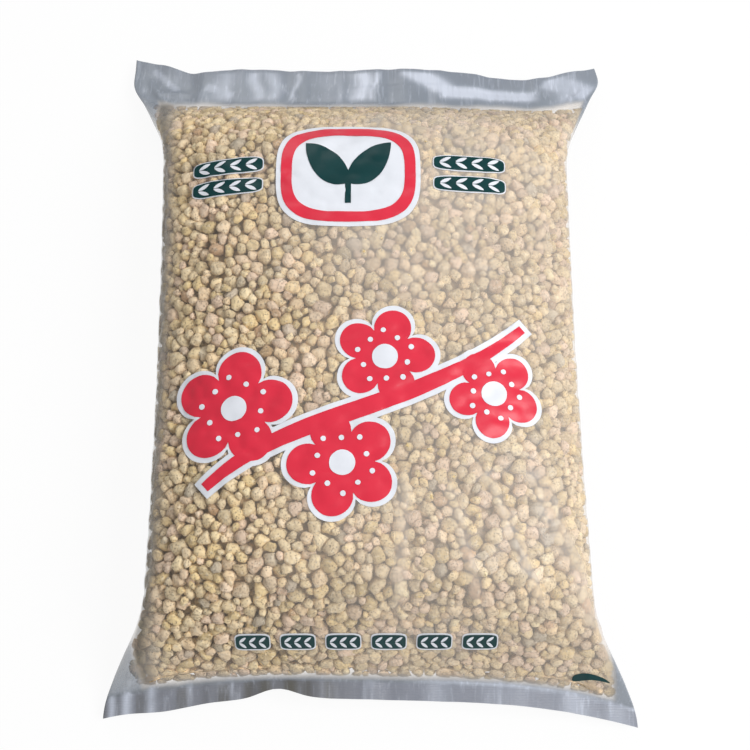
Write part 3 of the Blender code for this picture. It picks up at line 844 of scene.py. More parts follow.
def granule_piece(name, bag, places, chosen, template, look, random, tree):
    """One object of many granules, unfolded for baking in a square of its own each."""
    directions, triangles, unfolded = template
    shapes = granule_shapes(bag.granules, places, chosen, directions, random)
    keep_under_film(bag.tube, shapes, places[chosen], tree, bag.granules.film_gap)
    total, each = len(chosen), len(directions)
    faces = (np.arange(total)[:, None, None] * each + triangles[None]).reshape(-1, 3)
    piece = mesh_object(name, shapes.reshape(-1, 3), faces, look, smooth=False)
    tones = granule_colours(bag.finishes, total, random)
    store_colours(piece, "granule", np.repeat(tones, each, axis=0))
    across = math.ceil(math.sqrt(total))
    corner = np.stack([np.arange(total) % across, np.arange(total) // across], axis=1)
    maps = (corner[:, None, None, :] + 0.03 + 0.94 * unfolded[None]) / across
    layer = piece.data.uv_layers.new(name="OFBake")
    layer.data.foreach_set("uv", np.ascontiguousarray(maps, np.float32).ravel())
    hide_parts("pumice_fill")


CORE_ROWS, CORE_COLUMNS = 180, 60
CORE_SPAN = slice(5, -14)  # its rows end short of the seal and of the header
CORE_WIDTH = 0.95  # share of the width that holds granules
CORE_HALF = 0.495  # its front and back keep just apart where the bag is thin
CORE_BUMPS = 0.0015


def build_core(bag, tree):
    """The dark heap that closes the gaps between the granules, its colour a painted shade of the granules
    behind them.
    """
    tube, depth = bag.tube, bag.granules.core_depth
    random = np.random.default_rng(SEED + 3)
    points, faces, first = [], [], 0
    for side in (1, -1):
        _, t, u = film_grid(tube, CORE_ROWS, CORE_COLUMNS, side)
        left, right = fill_sides(tube, t, u)
        t = CORE_WIDTH * (left + 0.5 * (t + 1.0) * (right - left))
        grid = (film_point(tube, t, u, side) - frame_shift(tube))[CORE_SPAN]
        normals = grid_normals(grid, side)
        pairs = zip(grid.reshape(-1, 3), normals.reshape(-1, 3))
        room = np.array([room_behind(tree, p, n) for p, n in pairs]).reshape(grid.shape[:2])
        uneven = random.uniform(0.0, CORE_BUMPS, room.shape) * (room > 4 * depth)
        sink = np.minimum(depth, CORE_HALF * room) + uneven
        points.append((grid - normals * sink[:, :, None]).reshape(-1, 3))
        faces.append(grid_faces(grid.shape[0] - 1, grid.shape[1] - 1, first, flip=side < 0))
        first += grid.shape[0] * grid.shape[1]
    height, width = grid.shape[0], grid.shape[1]
    half = height * width
    rim = [*range(width)] + [r * width + width - 1 for r in range(1, height)]
    rim += [(height - 1) * width + c for c in range(width - 2, -1, -1)]
    rim += [r * width for r in range(height - 2, 0, -1)]
    rim = np.array(rim)
    after = np.roll(rim, -1)
    faces.append(np.stack([after, rim, rim + half, after + half], axis=1))
    points, faces = np.concatenate(points), np.concatenate(faces)
    core = mesh_object("granules_heap", points, faces, depth_look(bag.finishes))
    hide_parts("pumice_fill")


def build_granules(bag):
    """The granules against the film, larger and smaller, and those seen between them."""
    tree = film_tree(bag.tube)
    build_core(bag, tree)
    places = pack_granules(bag, tree)
    look = pumice_look(bag.finishes)
    random = np.random.default_rng(SEED + 1)
    finest, fine, coarse = (granule_template(cuts) for cuts in (4, 3, 2))
    small = places[:, RADIUS] < 0.5 * (bag.granules.largest + bag.granules.smallest) * 0.97
    against_film = places[:, LAYER] == 0
    at_front = against_film & (places[:, PANEL] == 0)
    at_back = against_film & (places[:, PANEL] == 1)
    on_floor = places[:, OUTWARD][:, 2] < FLOOR_FACING
    front = np.nonzero(at_front & ~small)[0]
    foot, middle, head = np.array_split(front[np.argsort(places[front, 1], kind="stable")], 3)
    groups = (
        ("foot", foot, finest),
        ("middle", middle, finest),
        ("head", head, finest),
        ("small", np.nonzero(at_front & small)[0], fine),
        ("sides", np.nonzero(at_back & ~on_floor)[0], fine),
        ("back", np.nonzero(at_back & on_floor)[0], coarse),
        ("under", np.nonzero(~against_film)[0], coarse),
    )
    for name, chosen, template in groups:
        granule_piece(f"granules_{name}", bag, places, chosen, template, look, random, tree)


# Folds of the loose film, as start, end and height, in the film's own plan in metres
FOLDS = (
    ((0.196, -0.205), (0.168, -0.252), 0.0016),
    ((0.203, -0.192), (0.190, -0.236), 0.0011),
    ((0.170, -0.262), (0.196, -0.284), 0.0013),
    ((-0.180, -0.286), (-0.140, -0.262), 0.0016),
    ((-0.196, -0.275), (-0.166, -0.240), 0.0012),
    ((-0.204, 0.284), (-0.172, 0.236), 0.0016),
    ((-0.196, 0.262), (-0.150, 0.262), 0.0012),
    ((0.204, 0.280), (0.176, 0.246), 0.0014),
    ((-0.030, 0.262), (0.150, 0.268), 0.0009),
    ((0.060, 0.276), (0.135, 0.280), 0.0007),
)

# Long soft wrinkles where the film stands off the granules, as start, end and half width
WRINKLES = (
    ((0.030, -0.110), (0.022, -0.240), 0.0050),
    ((0.056, -0.105), (0.090, -0.240), 0.0065),
    ((0.082, -0.100), (0.140, -0.235), 0.0045),
    ((0.118, -0.095), (0.190, -0.250), 0.0080),
    ((0.060, 0.190), (0.175, 0.130), 0.0100),
)

# Painted sheen: bright streaks of reflected light down the header, as middle across the bag, width and
# strength
STREAKS = (
    (-0.130, 0.011, 0.55), (-0.101, 0.006, 0.80), (-0.086, 0.007, 0.60), (-0.0655, 0.002, 0.85),
    (-0.030, 0.012, 0.25), (-0.005, 0.010, 1.00), (0.006, 0.003, 0.90), (0.178, 0.010, 0.70),
)

# Painted sheen: bright patches of reflected light on the header, as two places across it and down it, half
# width and strength
SHEENS = (
    ((0.030, -0.004), (0.082, 0.026), 0.0085, 0.95),
    ((0.060, 0.023), (0.160, 0.022), 0.0070, 1.00),
    ((0.160, 0.002), (0.204, 0.030), 0.0090, 0.75),
    ((-0.150, 0.016), (-0.120, 0.030), 0.0050, 0.60),
    ((-0.200, 0.006), (-0.170, 0.024), 0.0030, 0.50),
)

# Painted sheen: bright streaks across the bottom seal, in the same way as the header's
FOOT_STREAKS = (
    (-0.203, 0.003, 0.80), (-0.191, 0.004, 0.95), (-0.171, 0.004, 0.75), (0.060, 0.014, 0.35),
    (0.110, 0.024, 0.30), (0.165, 0.016, 0.50), (0.200, 0.010, 0.45),
)


def ridge(x, y, start, end, width):
    """1 along a line between two places, falling off to its sides and its ends."""
    start, end = np.array(start), np.array(end)
    run = end - start
    reach = np.linalg.norm(run)
    ahead = run / reach
    along = ((x - start[0]) * ahead[0] + (y - start[1]) * ahead[1]) / reach
    aside = (x - start[0]) * -ahead[1] + (y - start[1]) * ahead[0]
    return np.exp(-((aside / width) ** 2)) * ease(along / 0.25) * ease((1.0 - along) / 0.25)


def bump(value, middle, width):
    """1 at the middle, with soft sides."""
    return np.exp(-(((value - middle) / width) ** 2))


def patch(across, down, start, end, width):
    """1 on a broad band between two places, with plain sides and soft ends."""
    run_x, run_y = end[0] - start[0], end[1] - start[1]
    reach = math.hypot(run_x, run_y)
    along = ((across - start[0]) * run_x + (down - start[1]) * run_y) / reach**2
    aside = ((down - start[1]) * run_x - (across - start[0]) * run_y) / reach
    return ease(along / 0.12) * ease((1.0 - along) / 0.12) / (1.0 + (aside / width) ** 6)


def edge_pull(x, from_low, from_high):
    """How the film's ends and ears stray from their plain curves, across and along the bag."""
    foot = 0.0078 * bump(x, -0.070, 0.020) - 0.0036 * bump(x, -0.160, 0.026)
    head = 0.0060 * ease((-0.158 - x) / 0.034) - 0.0028 * bump(x, -0.158, 0.020)
    head = head - 0.0046 * bump(x, 0.138, 0.030) + 0.0020 * ease((x - 0.165) / 0.020)
    along = foot * ease(1.0 - from_low / 0.017) + head * ease(1.0 - from_high / 0.045)
    left = -0.0040 * ease((-0.150 - x) / 0.040) * bump(from_high, 0.028, 0.014)
    right = 0.0050 * ease((x - 0.150) / 0.040) * bump(from_high, 0.016, 0.014)
    return left + right, along


# Waves of the header, as height, pitch and start
BUCKLES = ((0.5, 205.0, 0.6), (0.3, 131.0, 2.1), (0.25, 347.0, 4.0))


def header_buckles(x):
    """Upright waves that the empty header stands in, about -1 to 1."""
    return sum(part * np.sin(x * pitch + start) for part, pitch, start in BUCKLES)


def loose_film(tube, points, t, u):
    """How far loose film stands off its plain form along Z, and its masks."""
    from_low, from_high, _ = edge_distances(tube, t, u)
    x, y = points[..., 0], points[..., 1]
    fill_line = tube.header + 0.0035 * bump(x, -0.03, 0.10) - 0.0015 * ease((x - 0.140) / 0.05)
    in_header = ease((fill_line + 0.0012 * np.sin(x * 95.0) + 0.006 - from_high) / 0.010)
    bottom_seal = ease((tube.bottom_seal - from_low) / 0.0012)
    top_seal = ease((tube.top_seal - from_high) / 0.0012)
    lift = 0.0011 * header_buckles(x) * ease((tube.header + 0.022 - from_high) / 0.030)
    foot = ease((tube.bottom_seal + 0.016 - from_low) / 0.022)
    ripples = np.sin(x * 160.0 + 1.3) + 0.6 * np.sin(x * 287.0)
    lift = lift + 0.0007 * foot * ripples * ease((0.2 - np.abs(x)) / 0.04)
    fold = np.zeros_like(x)
    for start, end, height in FOLDS:
        fold = fold + height * ridge(x, y, start, end, 0.0026)
    for start, end, width in WRINKLES:
        fold = fold + 0.0010 * ridge(x, y, start, end, 0.6 * width)
    # Painted sheen: streaks and patches of reflected light on the header and the bottom seal, and a thin
    # highlight along the seal's upper edge towards the right
    light = np.zeros_like(x)
    for middle, width, strength in STREAKS:
        wander = middle + 0.003 * np.sin(from_high * 150.0 + middle * 90.0)
        light = np.maximum(light, strength * bump(x, wander, width))
    for start, end, width, strength in SHEENS:
        light = np.maximum(light, strength * patch(x, from_high, start, end, width))
    light = light * ease((from_high - 0.001) / 0.004) * ease((tube.header - from_high) / 0.008)
    at_foot = ease((tube.bottom_seal + 0.004 - from_low) / 0.004)
    for middle, width, strength in FOOT_STREAKS:
        light = np.maximum(light, strength * bump(x, middle, width) * at_foot)
    light = np.maximum(light, bump(from_low, tube.bottom_seal, 0.0012) * ease((x - 0.02) / 0.05))
    seal = np.maximum(bottom_seal, 0.2 * top_seal)
    return lift, fold, in_header, seal, light


DEEPEST_SINK = 0.0017  # how far the film may be drawn in
OFF_GRANULES = 0.0009  # from the ray's start to the film less its gap to a granule


def drape(points, normals, granule_tree, loose):
    """How far the film is drawn in between the granules under it."""
    sink = np.zeros(points.shape[:2])
    for r, c in np.ndindex(sink.shape):
        n = Vector(normals[r, c])
        hit = granule_tree.ray_cast(Vector(points[r, c]) + n * 0.0006, -n, 0.006)
        drop = DEEPEST_SINK if hit[0] is None else hit[3] - OFF_GRANULES
        sink[r, c] = min(max(drop, 0.0), DEEPEST_SINK)
    padded = np.pad(sink, 1, mode="edge")
    lowest = sink.copy()
    for dr, dc in itertools.product((0, 1, 2), repeat=2):
        lowest = np.minimum(lowest, padded[dr : dr + sink.shape[0], dc : dc + sink.shape[1]])
    return np.minimum(smooth_grid(lowest, 2), smooth_grid(sink, 1)) * (1.0 - loose)


def read_back(name):
    """Vertices and face corners of a finished mesh."""
    data = bpy.data.objects[name].data
    co = np.empty(len(data.vertices) * 3, np.float32)
    data.vertices.foreach_get("co", co)
    corners = np.empty(len(data.loops), np.int32)
    data.loops.foreach_get("vertex_index", corners)
    return co.reshape(-1, 3), corners


def granules_tree():
    """The granules against the film as a tree for rays."""
    points, faces, first = [], [], 0
    for name in ("foot", "middle", "head", "small", "sides", "back"):
        co, corners = read_back(f"granules_{name}")
        points.append(co)
        faces.append(corners.reshape(-1, 3) + first)
        first += len(co)
    return BVHTree.FromPolygons(np.concatenate(points).tolist(), np.concatenate(faces).tolist())


FILM_ROWS = 270
FRONT_COLUMNS = 196
BACK_COLUMNS = 84


def film_skin(bag, side, columns, tree):
    """Points and masks of one panel, with its loose film and its drape."""
    tube = bag.tube
    points, t, u = film_grid(tube, FILM_ROWS, columns, side)
    normals = grid_normals(points, side)
    lift, fold, in_header, seal, light = loose_film(tube, points, t, u)
    from_low, from_high, _ = edge_distances(tube, t, u)
    flat = 1.0 - body_share(tube, from_low, from_high)
    left, right = fill_sides(tube, t, u)
    ear = ease(np.maximum(left - t + 0.035, t - right + 0.010) / 0.04) * ease((flat - 0.15) / 0.3)
    foot = ease((tube.bottom_seal + 0.006 - from_low) / 0.006)
    empty = np.clip(np.maximum.reduce([in_header, ear, foot]), 0.0, 1.0)
    edge_fade = 1.0 - np.abs(t) ** 12
    sink = drape(points, normals, tree, np.maximum(empty, 1.0 - edge_fade))
    rise = lift * edge_fade * ease((points[..., 2] - 0.002) / 0.006)
    points = points - normals * sink[:, :, None]
    points[..., 2] += rise
    across, along = edge_pull(points[..., 0], from_low, from_high)
    points[..., 0] += across
    points[..., 1] += along
    if side > 0:
        points += normals * (fold * edge_fade * ease(np.minimum(from_low, from_high) / 0.010))[:, :, None]
    points[..., 2] = np.maximum(points[..., 2], 0.0)
    return points, (empty, seal, light, t, from_low, from_high)


def milky_and_glare(points, t, from_low, from_high):
    """Where the film looks hazy: milky where it stands off the granules, under the header, at the right and
    below, and painted glare of reflected light growing to the right and over the upper middle.
    """
    x, y = points[..., 0], points[..., 1]
    # Painted glare: haze growing to the right and over the upper middle, as light reflected off the film
    haze_and_glare = 0.10 + 0.68 * ease((x + 0.110 - 0.10 * y) / 0.170)
    haze_and_glare = haze_and_glare + 0.50 * bump(x, 0.02, 0.10) * ease((y + 0.02) / 0.10)
    for start, end, width in WRINKLES:
        haze_and_glare = haze_and_glare + 0.45 * ridge(x, y, start, end, width)
    bands = (
        (0.60, (0.085 - from_high) / 0.045),
        (0.95, (0.054 - from_high) / 0.012),
        (0.45, (t - 0.86) / 0.12),
        (0.40, (0.050 - from_low) / 0.030),
        (0.65, (0.028 - from_low) / 0.012),
    )
    return np.maximum.reduce([haze_and_glare, *(most * ease(into) for most, into in bands)])


def shaded(points, masks):
    """Painted shade on the film: along its left side, a little at its right edge, and on the bottom seal,
    mostly left of its middle and in a line along its upper edge.
    """
    empty, _, _, t, from_low, _ = masks
    left = 0.90 * bump(t, -0.87, 0.10) * ease((t + 1.0) / 0.10)
    side = (left + 0.22 * bump(t, 0.93, 0.06)) * (1.0 - empty)
    x = points[..., 0]
    at_foot = ease((0.016 - from_low) / 0.004)
    stripes = ease(0.35 + 1.3 * np.sin(x * 290.0) * np.sin(x * 83.0 + 1.0))
    bands = (0.12 + 0.40 * stripes) * ease(-x / 0.06)
    seal_shade = (0.42 * bump(x, -0.055, 0.060) + bands) * at_foot
    return np.maximum.reduce([side, seal_shade, 0.5 * bump(from_low, 0.0155, 0.0010)])


def build_film(bag):
    """The clear tube: a fine front panel, a back panel, and the sides and ends where they meet."""
    tree = granules_tree()
    front, front_masks = film_skin(bag, 1, FRONT_COLUMNS, tree)
    back, back_masks = film_skin(bag, -1, BACK_COLUMNS, tree)
    first = front.shape[0] * front.shape[1]
    points = np.concatenate([front.reshape(-1, 3), back.reshape(-1, 3)])
    faces = [grid_faces(FILM_ROWS, FRONT_COLUMNS), grid_faces(FILM_ROWS, BACK_COLUMNS, first, flip=True)]
    wide, narrow = FRONT_COLUMNS + 1, BACK_COLUMNS + 1
    row = np.arange(FILM_ROWS)
    left_front, left_back = row * wide, first + row * narrow
    faces.append(np.stack([left_front, left_front + wide, left_back + narrow, left_back], axis=1))
    right_front, right_back = left_front + wide - 1, left_back + narrow - 1
    faces.append(np.stack([right_front + wide, right_front, right_back, right_back + narrow], axis=1))
    film = mesh_object("film", points, np.concatenate(faces), film_look(bag.finishes))
    # The light mask holds the painted sheen
    for k, name in enumerate(("empty", "seal", "light")):
        values = [masks[k].ravel() for masks in (front_masks, back_masks)]
        store(film, name, np.concatenate(values))
    panels = ((front, front_masks), (back, back_masks))
    # Haze, partly painted glare
    store(film, "haze_and_glare", np.concatenate([milky_and_glare(grid, *masks[3:]).ravel() for grid, masks in panels]))
    # The shade mask is painted shade, on the front panel only
    unshaded = np.zeros(back.shape[0] * back.shape[1])
    store(film, "shade", np.concatenate([shaded(front, front_masks).ravel(), unshaded]))
    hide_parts("film_bag")


def front_tree():
    """The film's front panel, read back from its mesh, as a tree for rays."""
    points, _ = read_back("film")
    size = (FILM_ROWS + 1) * (FRONT_COLUMNS + 1)
    quads = grid_faces(FILM_ROWS, FRONT_COLUMNS)
    return BVHTree.FromPolygons(points[:size].tolist(), quads.tolist())


def inside(outline, places):
    """Which places lie inside a closed outline, by counting the edges to their right."""
    x, y = places[:, 0][:, None], places[:, 1][:, None]
    a = np.array(outline)
    b = np.roll(a, -1, axis=0)
    crosses = (a[:, 1] > y) != (b[:, 1] > y)
    rise = np.where(b[:, 1] == a[:, 1], 1.0, b[:, 1] - a[:, 1])
    at = (b[:, 0] - a[:, 0]) * (y - a[:, 1]) / rise + a[:, 0]
    return (crosses & (x < at)).sum(axis=1) % 2 == 1


def flat_field(outlines, holes, pitch):
    """Places and triangles that fill some outlines together, without the holes."""
    scale = 1000.0
    lines = [*outlines, *holes]

    def within(spots):
        held = np.any([inside(line, spots) for line in outlines], axis=0)
        for line in holes:
            held &= ~inside(line, spots)
        return held

    corners = np.concatenate([np.array(line) for line in lines])
    low, high = corners.min(axis=0), corners.max(axis=0)
    xs = np.arange(low[0], high[0], pitch)
    ys = np.arange(low[1], high[1], pitch * 0.866)
    gx, gy = np.meshgrid(xs, ys)
    gx[1::2] += 0.5 * pitch
    middle = np.stack([gx.ravel(), gy.ravel()], axis=1)
    verts = [tuple(p * scale) for p in middle[within(middle)]]
    edges = []
    for line in lines:
        start = len(verts)
        verts += [(x * scale, y * scale) for x, y in line]
        edges += [(start + k, start + (k + 1) % len(line)) for k in range(len(line))]
    places, _, faces = delaunay_2d_cdt([Vector(v) for v in verts], edges, [], 0, 1e-5)[:3]
    places = np.array([tuple(p) for p in places]) / scale
    faces = np.array([f for f in faces if len(f) == 3])
    centres = places[faces].mean(axis=1)
    faces = faces[within(centres)]
    a, b, c = places[faces[:, 0]], places[faces[:, 1]], places[faces[:, 2]]
    area = (b[:, 0] - a[:, 0]) * (c[:, 1] - a[:, 1]) - (b[:, 1] - a[:, 1]) * (c[:, 0] - a[:, 0])
    faces[area < 0] = faces[area < 0][:, ::-1]
    faces = faces[np.abs(area) > 1e-12]
    used, faces = np.unique(faces, return_inverse=True)
    return places[used], faces.reshape(-1, 3)


def ink_piece(bag, name, outlines, look, tree, layer, nodes, holes=()):
    """A thin closed field of ink that lies on the film's front, which it follows."""
    prints = bag.prints
    places, faces = flat_field(outlines, list(holes), prints.pitch)
    shift = frame_shift(bag.tube)
    top, bottom = [], []
    height = prints.ink_gap + layer * (prints.ink + prints.ink_gap)
    for x, y in places:
        hit = tree.ray_cast(Vector((x - shift[0], y - shift[1], 1.0)), Vector((0, 0, -1)))
        if hit[0] is None:
            raise RuntimeError(f"{name} leaves the film")
        normal = hit[1] if hit[1].z > 0 else -hit[1]
        bottom.append(hit[0] + normal * height)
        top.append(hit[0] + normal * (height + prints.ink))
    total = len(places)
    edges = np.concatenate([faces[:, [0, 1]], faces[:, [1, 2]], faces[:, [2, 0]]])
    known = {tuple(edge) for edge in edges.tolist()}
    rim = np.array([edge for edge in edges.tolist() if (edge[1], edge[0]) not in known])
    walls = np.concatenate([np.stack([rim[:, 0], rim[:, 1] + total, rim[:, 1]], axis=1),
                            np.stack([rim[:, 0], rim[:, 0] + total, rim[:, 1] + total], axis=1)])
    shell = np.concatenate([faces, faces[:, ::-1] + total, walls])
    piece = mesh_object(name, np.array([*top, *bottom], float), shell, look)
    piece.data.set_sharp_from_angle(angle=math.radians(50.0))
    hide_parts(*nodes)


def superellipse(centre, width, height, power=2.0, steps=96):
    """An outline between an ellipse (power 2) and a box (high power)."""
    points = []
    for k in range(steps):
        c, s = math.cos(2 * math.pi * k / steps), math.sin(2 * math.pi * k / steps)
        x = math.copysign(abs(c) ** (2.0 / power), c) * 0.5 * width
        y = math.copysign(abs(s) ** (2.0 / power), s) * 0.5 * height
        points.append((centre[0] + x, centre[1] + y))
    return points


def petals(prints, centre, radius, turn, depth, lobes=5, steps=22):
    """A blossom's outline, round lobes on a polar curve."""
    points = []
    for k in range(lobes * steps):
        angle = 2 * math.pi * k / (lobes * steps)
        lobe = abs(math.cos(0.5 * lobes * angle)) ** prints.petal_round
        reach = radius * (1.0 - depth + depth * lobe)
        x, y = reach * math.cos(angle + turn), reach * math.sin(angle + turn)
        points.append((centre[0] + x, centre[1] + y))
    return points


def bezier(ends, pulls, s):
    """A place on a curve between two ends, s from 0 to 1."""
    p = [np.array(q, float) for q in (ends[0], pulls[0], pulls[1], ends[1])]
    r = 1.0 - s
    return p[0] * r**3 + 3 * p[1] * r * r * s + 3 * p[2] * r * s * s + p[3] * s**3


def seedling(prints, centre, steps=28):
    """Two spread leaves on a short stalk."""
    half, top = 0.5 * prints.seedling_spread, 0.5 * prints.seedling_height
    fork = -0.10 * prints.seedling_height
    stalk = 0.035 * prints.seedling_spread
    tip = (half, top)
    right = [(stalk, -top), (stalk, fork - 0.10 * prints.seedling_height)]
    under = ((0.55 * half, -0.55 * top), (1.00 * half, 0.05 * top))
    over = ((0.45 * half, 0.95 * top), (0.12 * half, 0.45 * top))
    right += [tuple(bezier((right[-1], tip), under, k / steps)) for k in range(1, steps)]
    crotch = (0.0, fork + 0.12 * prints.seedling_height)
    right += [tuple(bezier((tip, crotch), over, k / steps)) for k in range(steps + 1)]
    left = [(-x, y) for x, y in reversed(right[:-1])]
    return [(centre[0] + x, centre[1] + y) for x, y in right + left]


def leaf_row(centre, width, height, pairs):
    """Pairs of small pointed leaves, leaning to one side, in a row along a bar."""
    leaves = []
    step = width / (pairs + 0.4)
    for k in range(2 * pairs):
        up = 1 if k % 2 == 0 else -1
        x = centre[0] + (k // 2 - 0.5 * (pairs - 1)) * step
        y = centre[1] + up * 0.20 * height
        ahead = np.array([0.36 * step, up * 0.17 * height])
        aside = np.array([-ahead[1], ahead[0]]) * 0.30
        outline = []
        for i in range(16):
            angle = 2 * math.pi * i / 16
            across = math.copysign(abs(math.sin(angle)) ** 1.6, math.sin(angle))
            part = ahead * math.cos(angle) + aside * across
            outline.append((x + part[0], y + part[1]))
        leaves.append(outline)
    return leaves


def stem_curve(bag, s):
    """Middle of the flower spray's stem, s from its foot (0) to its tip (1)."""
    prints = bag.prints
    y = -0.5 * bag.tube.bag_length + prints.spray_from_bottom
    half, rise = 0.5 * prints.spray_width, 0.5 * prints.spray_rise
    foot, tip = (-half, y - rise), (half, y + rise)
    return bezier((foot, tip), ((-0.45 * half, y - 0.05 * rise), (0.35 * half, y - 0.15 * rise)), s)


def stem_frame(bag, s):
    """A place on the stem and the direction out to its left."""
    ahead = stem_curve(bag, min(s + 0.01, 1.0)) - stem_curve(bag, max(s - 0.01, 0.0))
    ahead /= np.linalg.norm(ahead)
    return stem_curve(bag, s), np.array([-ahead[1], ahead[0]])


def stem(bag, extra, steps=48):
    """A brushed stroke, thick in its middle and thin at both ends, grown by extra all round."""
    left, right = [], []
    for k in range(steps):
        s = k / (steps - 1)
        place, normal = stem_frame(bag, s)
        swell = 0.30 + 0.70 * math.sin(math.pi * (0.12 + 0.80 * s))
        width = 0.5 * bag.prints.stem_width * swell + extra
        shift = extra * (s - 0.5) * 2 * np.array([normal[1], -normal[0]])
        left.append(tuple(place + shift + normal * width))
        right.append(tuple(place + shift - normal * width))
    return right + left[::-1]


def blossoms(bag):
    """Centre, radius and turn of each blossom, by turns above and below the stem it joins."""
    prints = bag.prints
    placed = []
    for k in range(prints.blossom_count):
        radius = prints.blossom - prints.blossom_shrink * k
        place, normal = stem_frame(bag, prints.blossom_first + prints.blossom_step * k)
        outward = -normal if k % 2 else normal
        turn = math.atan2(-outward[1], -outward[0])
        placed.append((place + outward * prints.blossom_offset * radius, radius, turn))
    return placed


def build_print(bag):
    """Every printed field, in the same places as the CAD model's."""
    prints, tube = bag.prints, bag.tube
    tree = front_tree()
    inks = bag.finishes
    looks = {
        # The third number scales the ink's painted light and shade patches
        "green_ink": ink_look("green_ink", inks.green, 1.35, 0.20),
        "red_ink": ink_look("red_ink", inks.red, 0.86, 0.40),
        "white_ink": ink_look("white_ink", inks.white, 0.90, 0.50),
    }

    def ink(name, outlines, slot, layer, nodes, holes=()):
        ink_piece(bag, f"print_{name}", outlines, looks[slot], tree, layer, nodes, holes)

    def bars(group, node, places, width, height, power, steps, pairs):
        """Green bars, white rims under them and small white leaves on them."""
        wider = 2 * prints.rim
        nodes = [f"{node}_{k + 1}" for k in range(len(places))]
        for name, place in zip(nodes, places):
            ink(name, [superellipse(place, width, height, power, steps)], "green_ink", 1, [name])
        rims = [superellipse(place, width + wider, height + wider, power, steps) for place in places]
        leaves = [leaf for place in places for leaf in leaf_row(place, width, height, pairs)]
        ink(f"{group}_rims", rims, "white_ink", 0, nodes)
        ink(f"{group}_leaves", leaves, "white_ink", 2, nodes)

    emblem = (prints.emblem_x, 0.5 * tube.bag_length - prints.emblem_from_top)
    rim = 2 * prints.emblem_rim
    inner = rim + 2 * prints.emblem_frame
    plate, outer, hole = (
        superellipse(emblem, prints.emblem_width - less, prints.emblem_height - less, prints.emblem_power)
        for less in (0.0, rim, inner)
    )
    ink("emblem_field", [plate], "white_ink", 0, ["emblem_field"])
    ink("emblem_frame", [outer], "red_ink", 1, ["emblem_frame"], [hole])
    ink("seedling", [seedling(prints, emblem)], "green_ink", 1, ["emblem_seedling"])

    aside = 0.5 * (prints.emblem_width + prints.tile_width + 2 * prints.tile_clear)
    above = 0.5 * (prints.tile_height + prints.tile_gap)
    tiles = [(emblem[0] + side * aside, emblem[1] + row * above) for side in (-1, 1) for row in (1, -1)]
    bars("tile", "leaf_tile", tiles, prints.tile_width, prints.tile_height, prints.tile_power, 96, 4)

    placed = blossoms(bag)
    halos = [petals(prints, c, r + prints.outline, turn, prints.halo_notch) for c, r, turn in placed]
    blooms = [petals(prints, c, r, turn, prints.notch) for c, r, turn in placed]
    ink("spray_outline", [stem(bag, prints.outline), *halos], "white_ink", 0, ["spray_outline"])
    ink("spray", [stem(bag, 0.0), *blooms], "red_ink", 1, ["spray"])
    dots = []
    for k, (centre, radius, turn) in enumerate(placed):
        name = f"blossom_heart_{k + 1}"
        heart = superellipse(centre, 2 * prints.heart, 2 * prints.heart, 2.0, 48)
        ink(name, [heart], "white_ink", 2, [name])
        for i in range(10):
            turned = turn + 2 * math.pi * (i + 0.5) / 10
            away = radius * (0.46 if i % 2 else 0.56)
            dot = (centre[0] + away * math.cos(turned), centre[1] + away * math.sin(turned))
            dots.append(superellipse(dot, prints.dot, prints.dot, 2.0, 20))
    ink("blossom_dots", dots, "white_ink", 2, ["spray"])

    step = prints.dash_width + prints.dash_gap
    y = -0.5 * tube.bag_length + prints.dash_from_bottom + tube.bottom_dip
    first = 0.5 * (prints.dash_width - prints.dash_count * step + prints.dash_gap)
    dashes = [(first + k * step, y) for k in range(prints.dash_count)]
    bars("dash", "footer_dash", dashes, prints.dash_width, prints.dash_height, prints.dash_power, 64, 3)

    x = 0.5 * tube.tube_width - prints.stripe_from_side
    y = -0.5 * tube.bag_length + prints.stripe_from_bottom
    stripe = []
    for px, py in superellipse((x, y), prints.stripe_length, prints.stripe_width, prints.stripe_power, 64):
        s = 2.0 * (px - x) / prints.stripe_length
        rise = prints.stripe_bend * (1.0 - s * s - 0.6 * s)
        stripe.append((px, y + (py - y) * (0.72 - 0.42 * s) + rise))
    ink("corner_stripe", [stripe], "green_ink", 0, ["corner_stripe"])


def floor_look(finishes):
    """A pale floor that the camera sees as near white, with the bag's shadow kept."""
    look = Look("studio_floor", roughness=0.9)
    look.feed("Base Color", finishes.floor)
    seen = look.node("ShaderNodeLightPath", output="Is Camera Ray")
    mirrored = look.node("ShaderNodeLightPath", output="Is Glossy Ray")
    white = look.node("ShaderNodeEmission", None, {"Color": (1.0, 1.0, 1.0), "Strength": 1.0})
    shader = Value(look, look.shader.outputs["BSDF"])
    inputs = {0: (seen + mirrored).clamped() * 0.93, 1: shader, 2: white}
    backdrop = look.node("ShaderNodeMixShader", None, inputs)
    look.put(look.tree.nodes["Material Output"].inputs["Surface"], backdrop)
    return look.material


FLOOR_LEVEL = -0.0002  # just clear of the bag's back


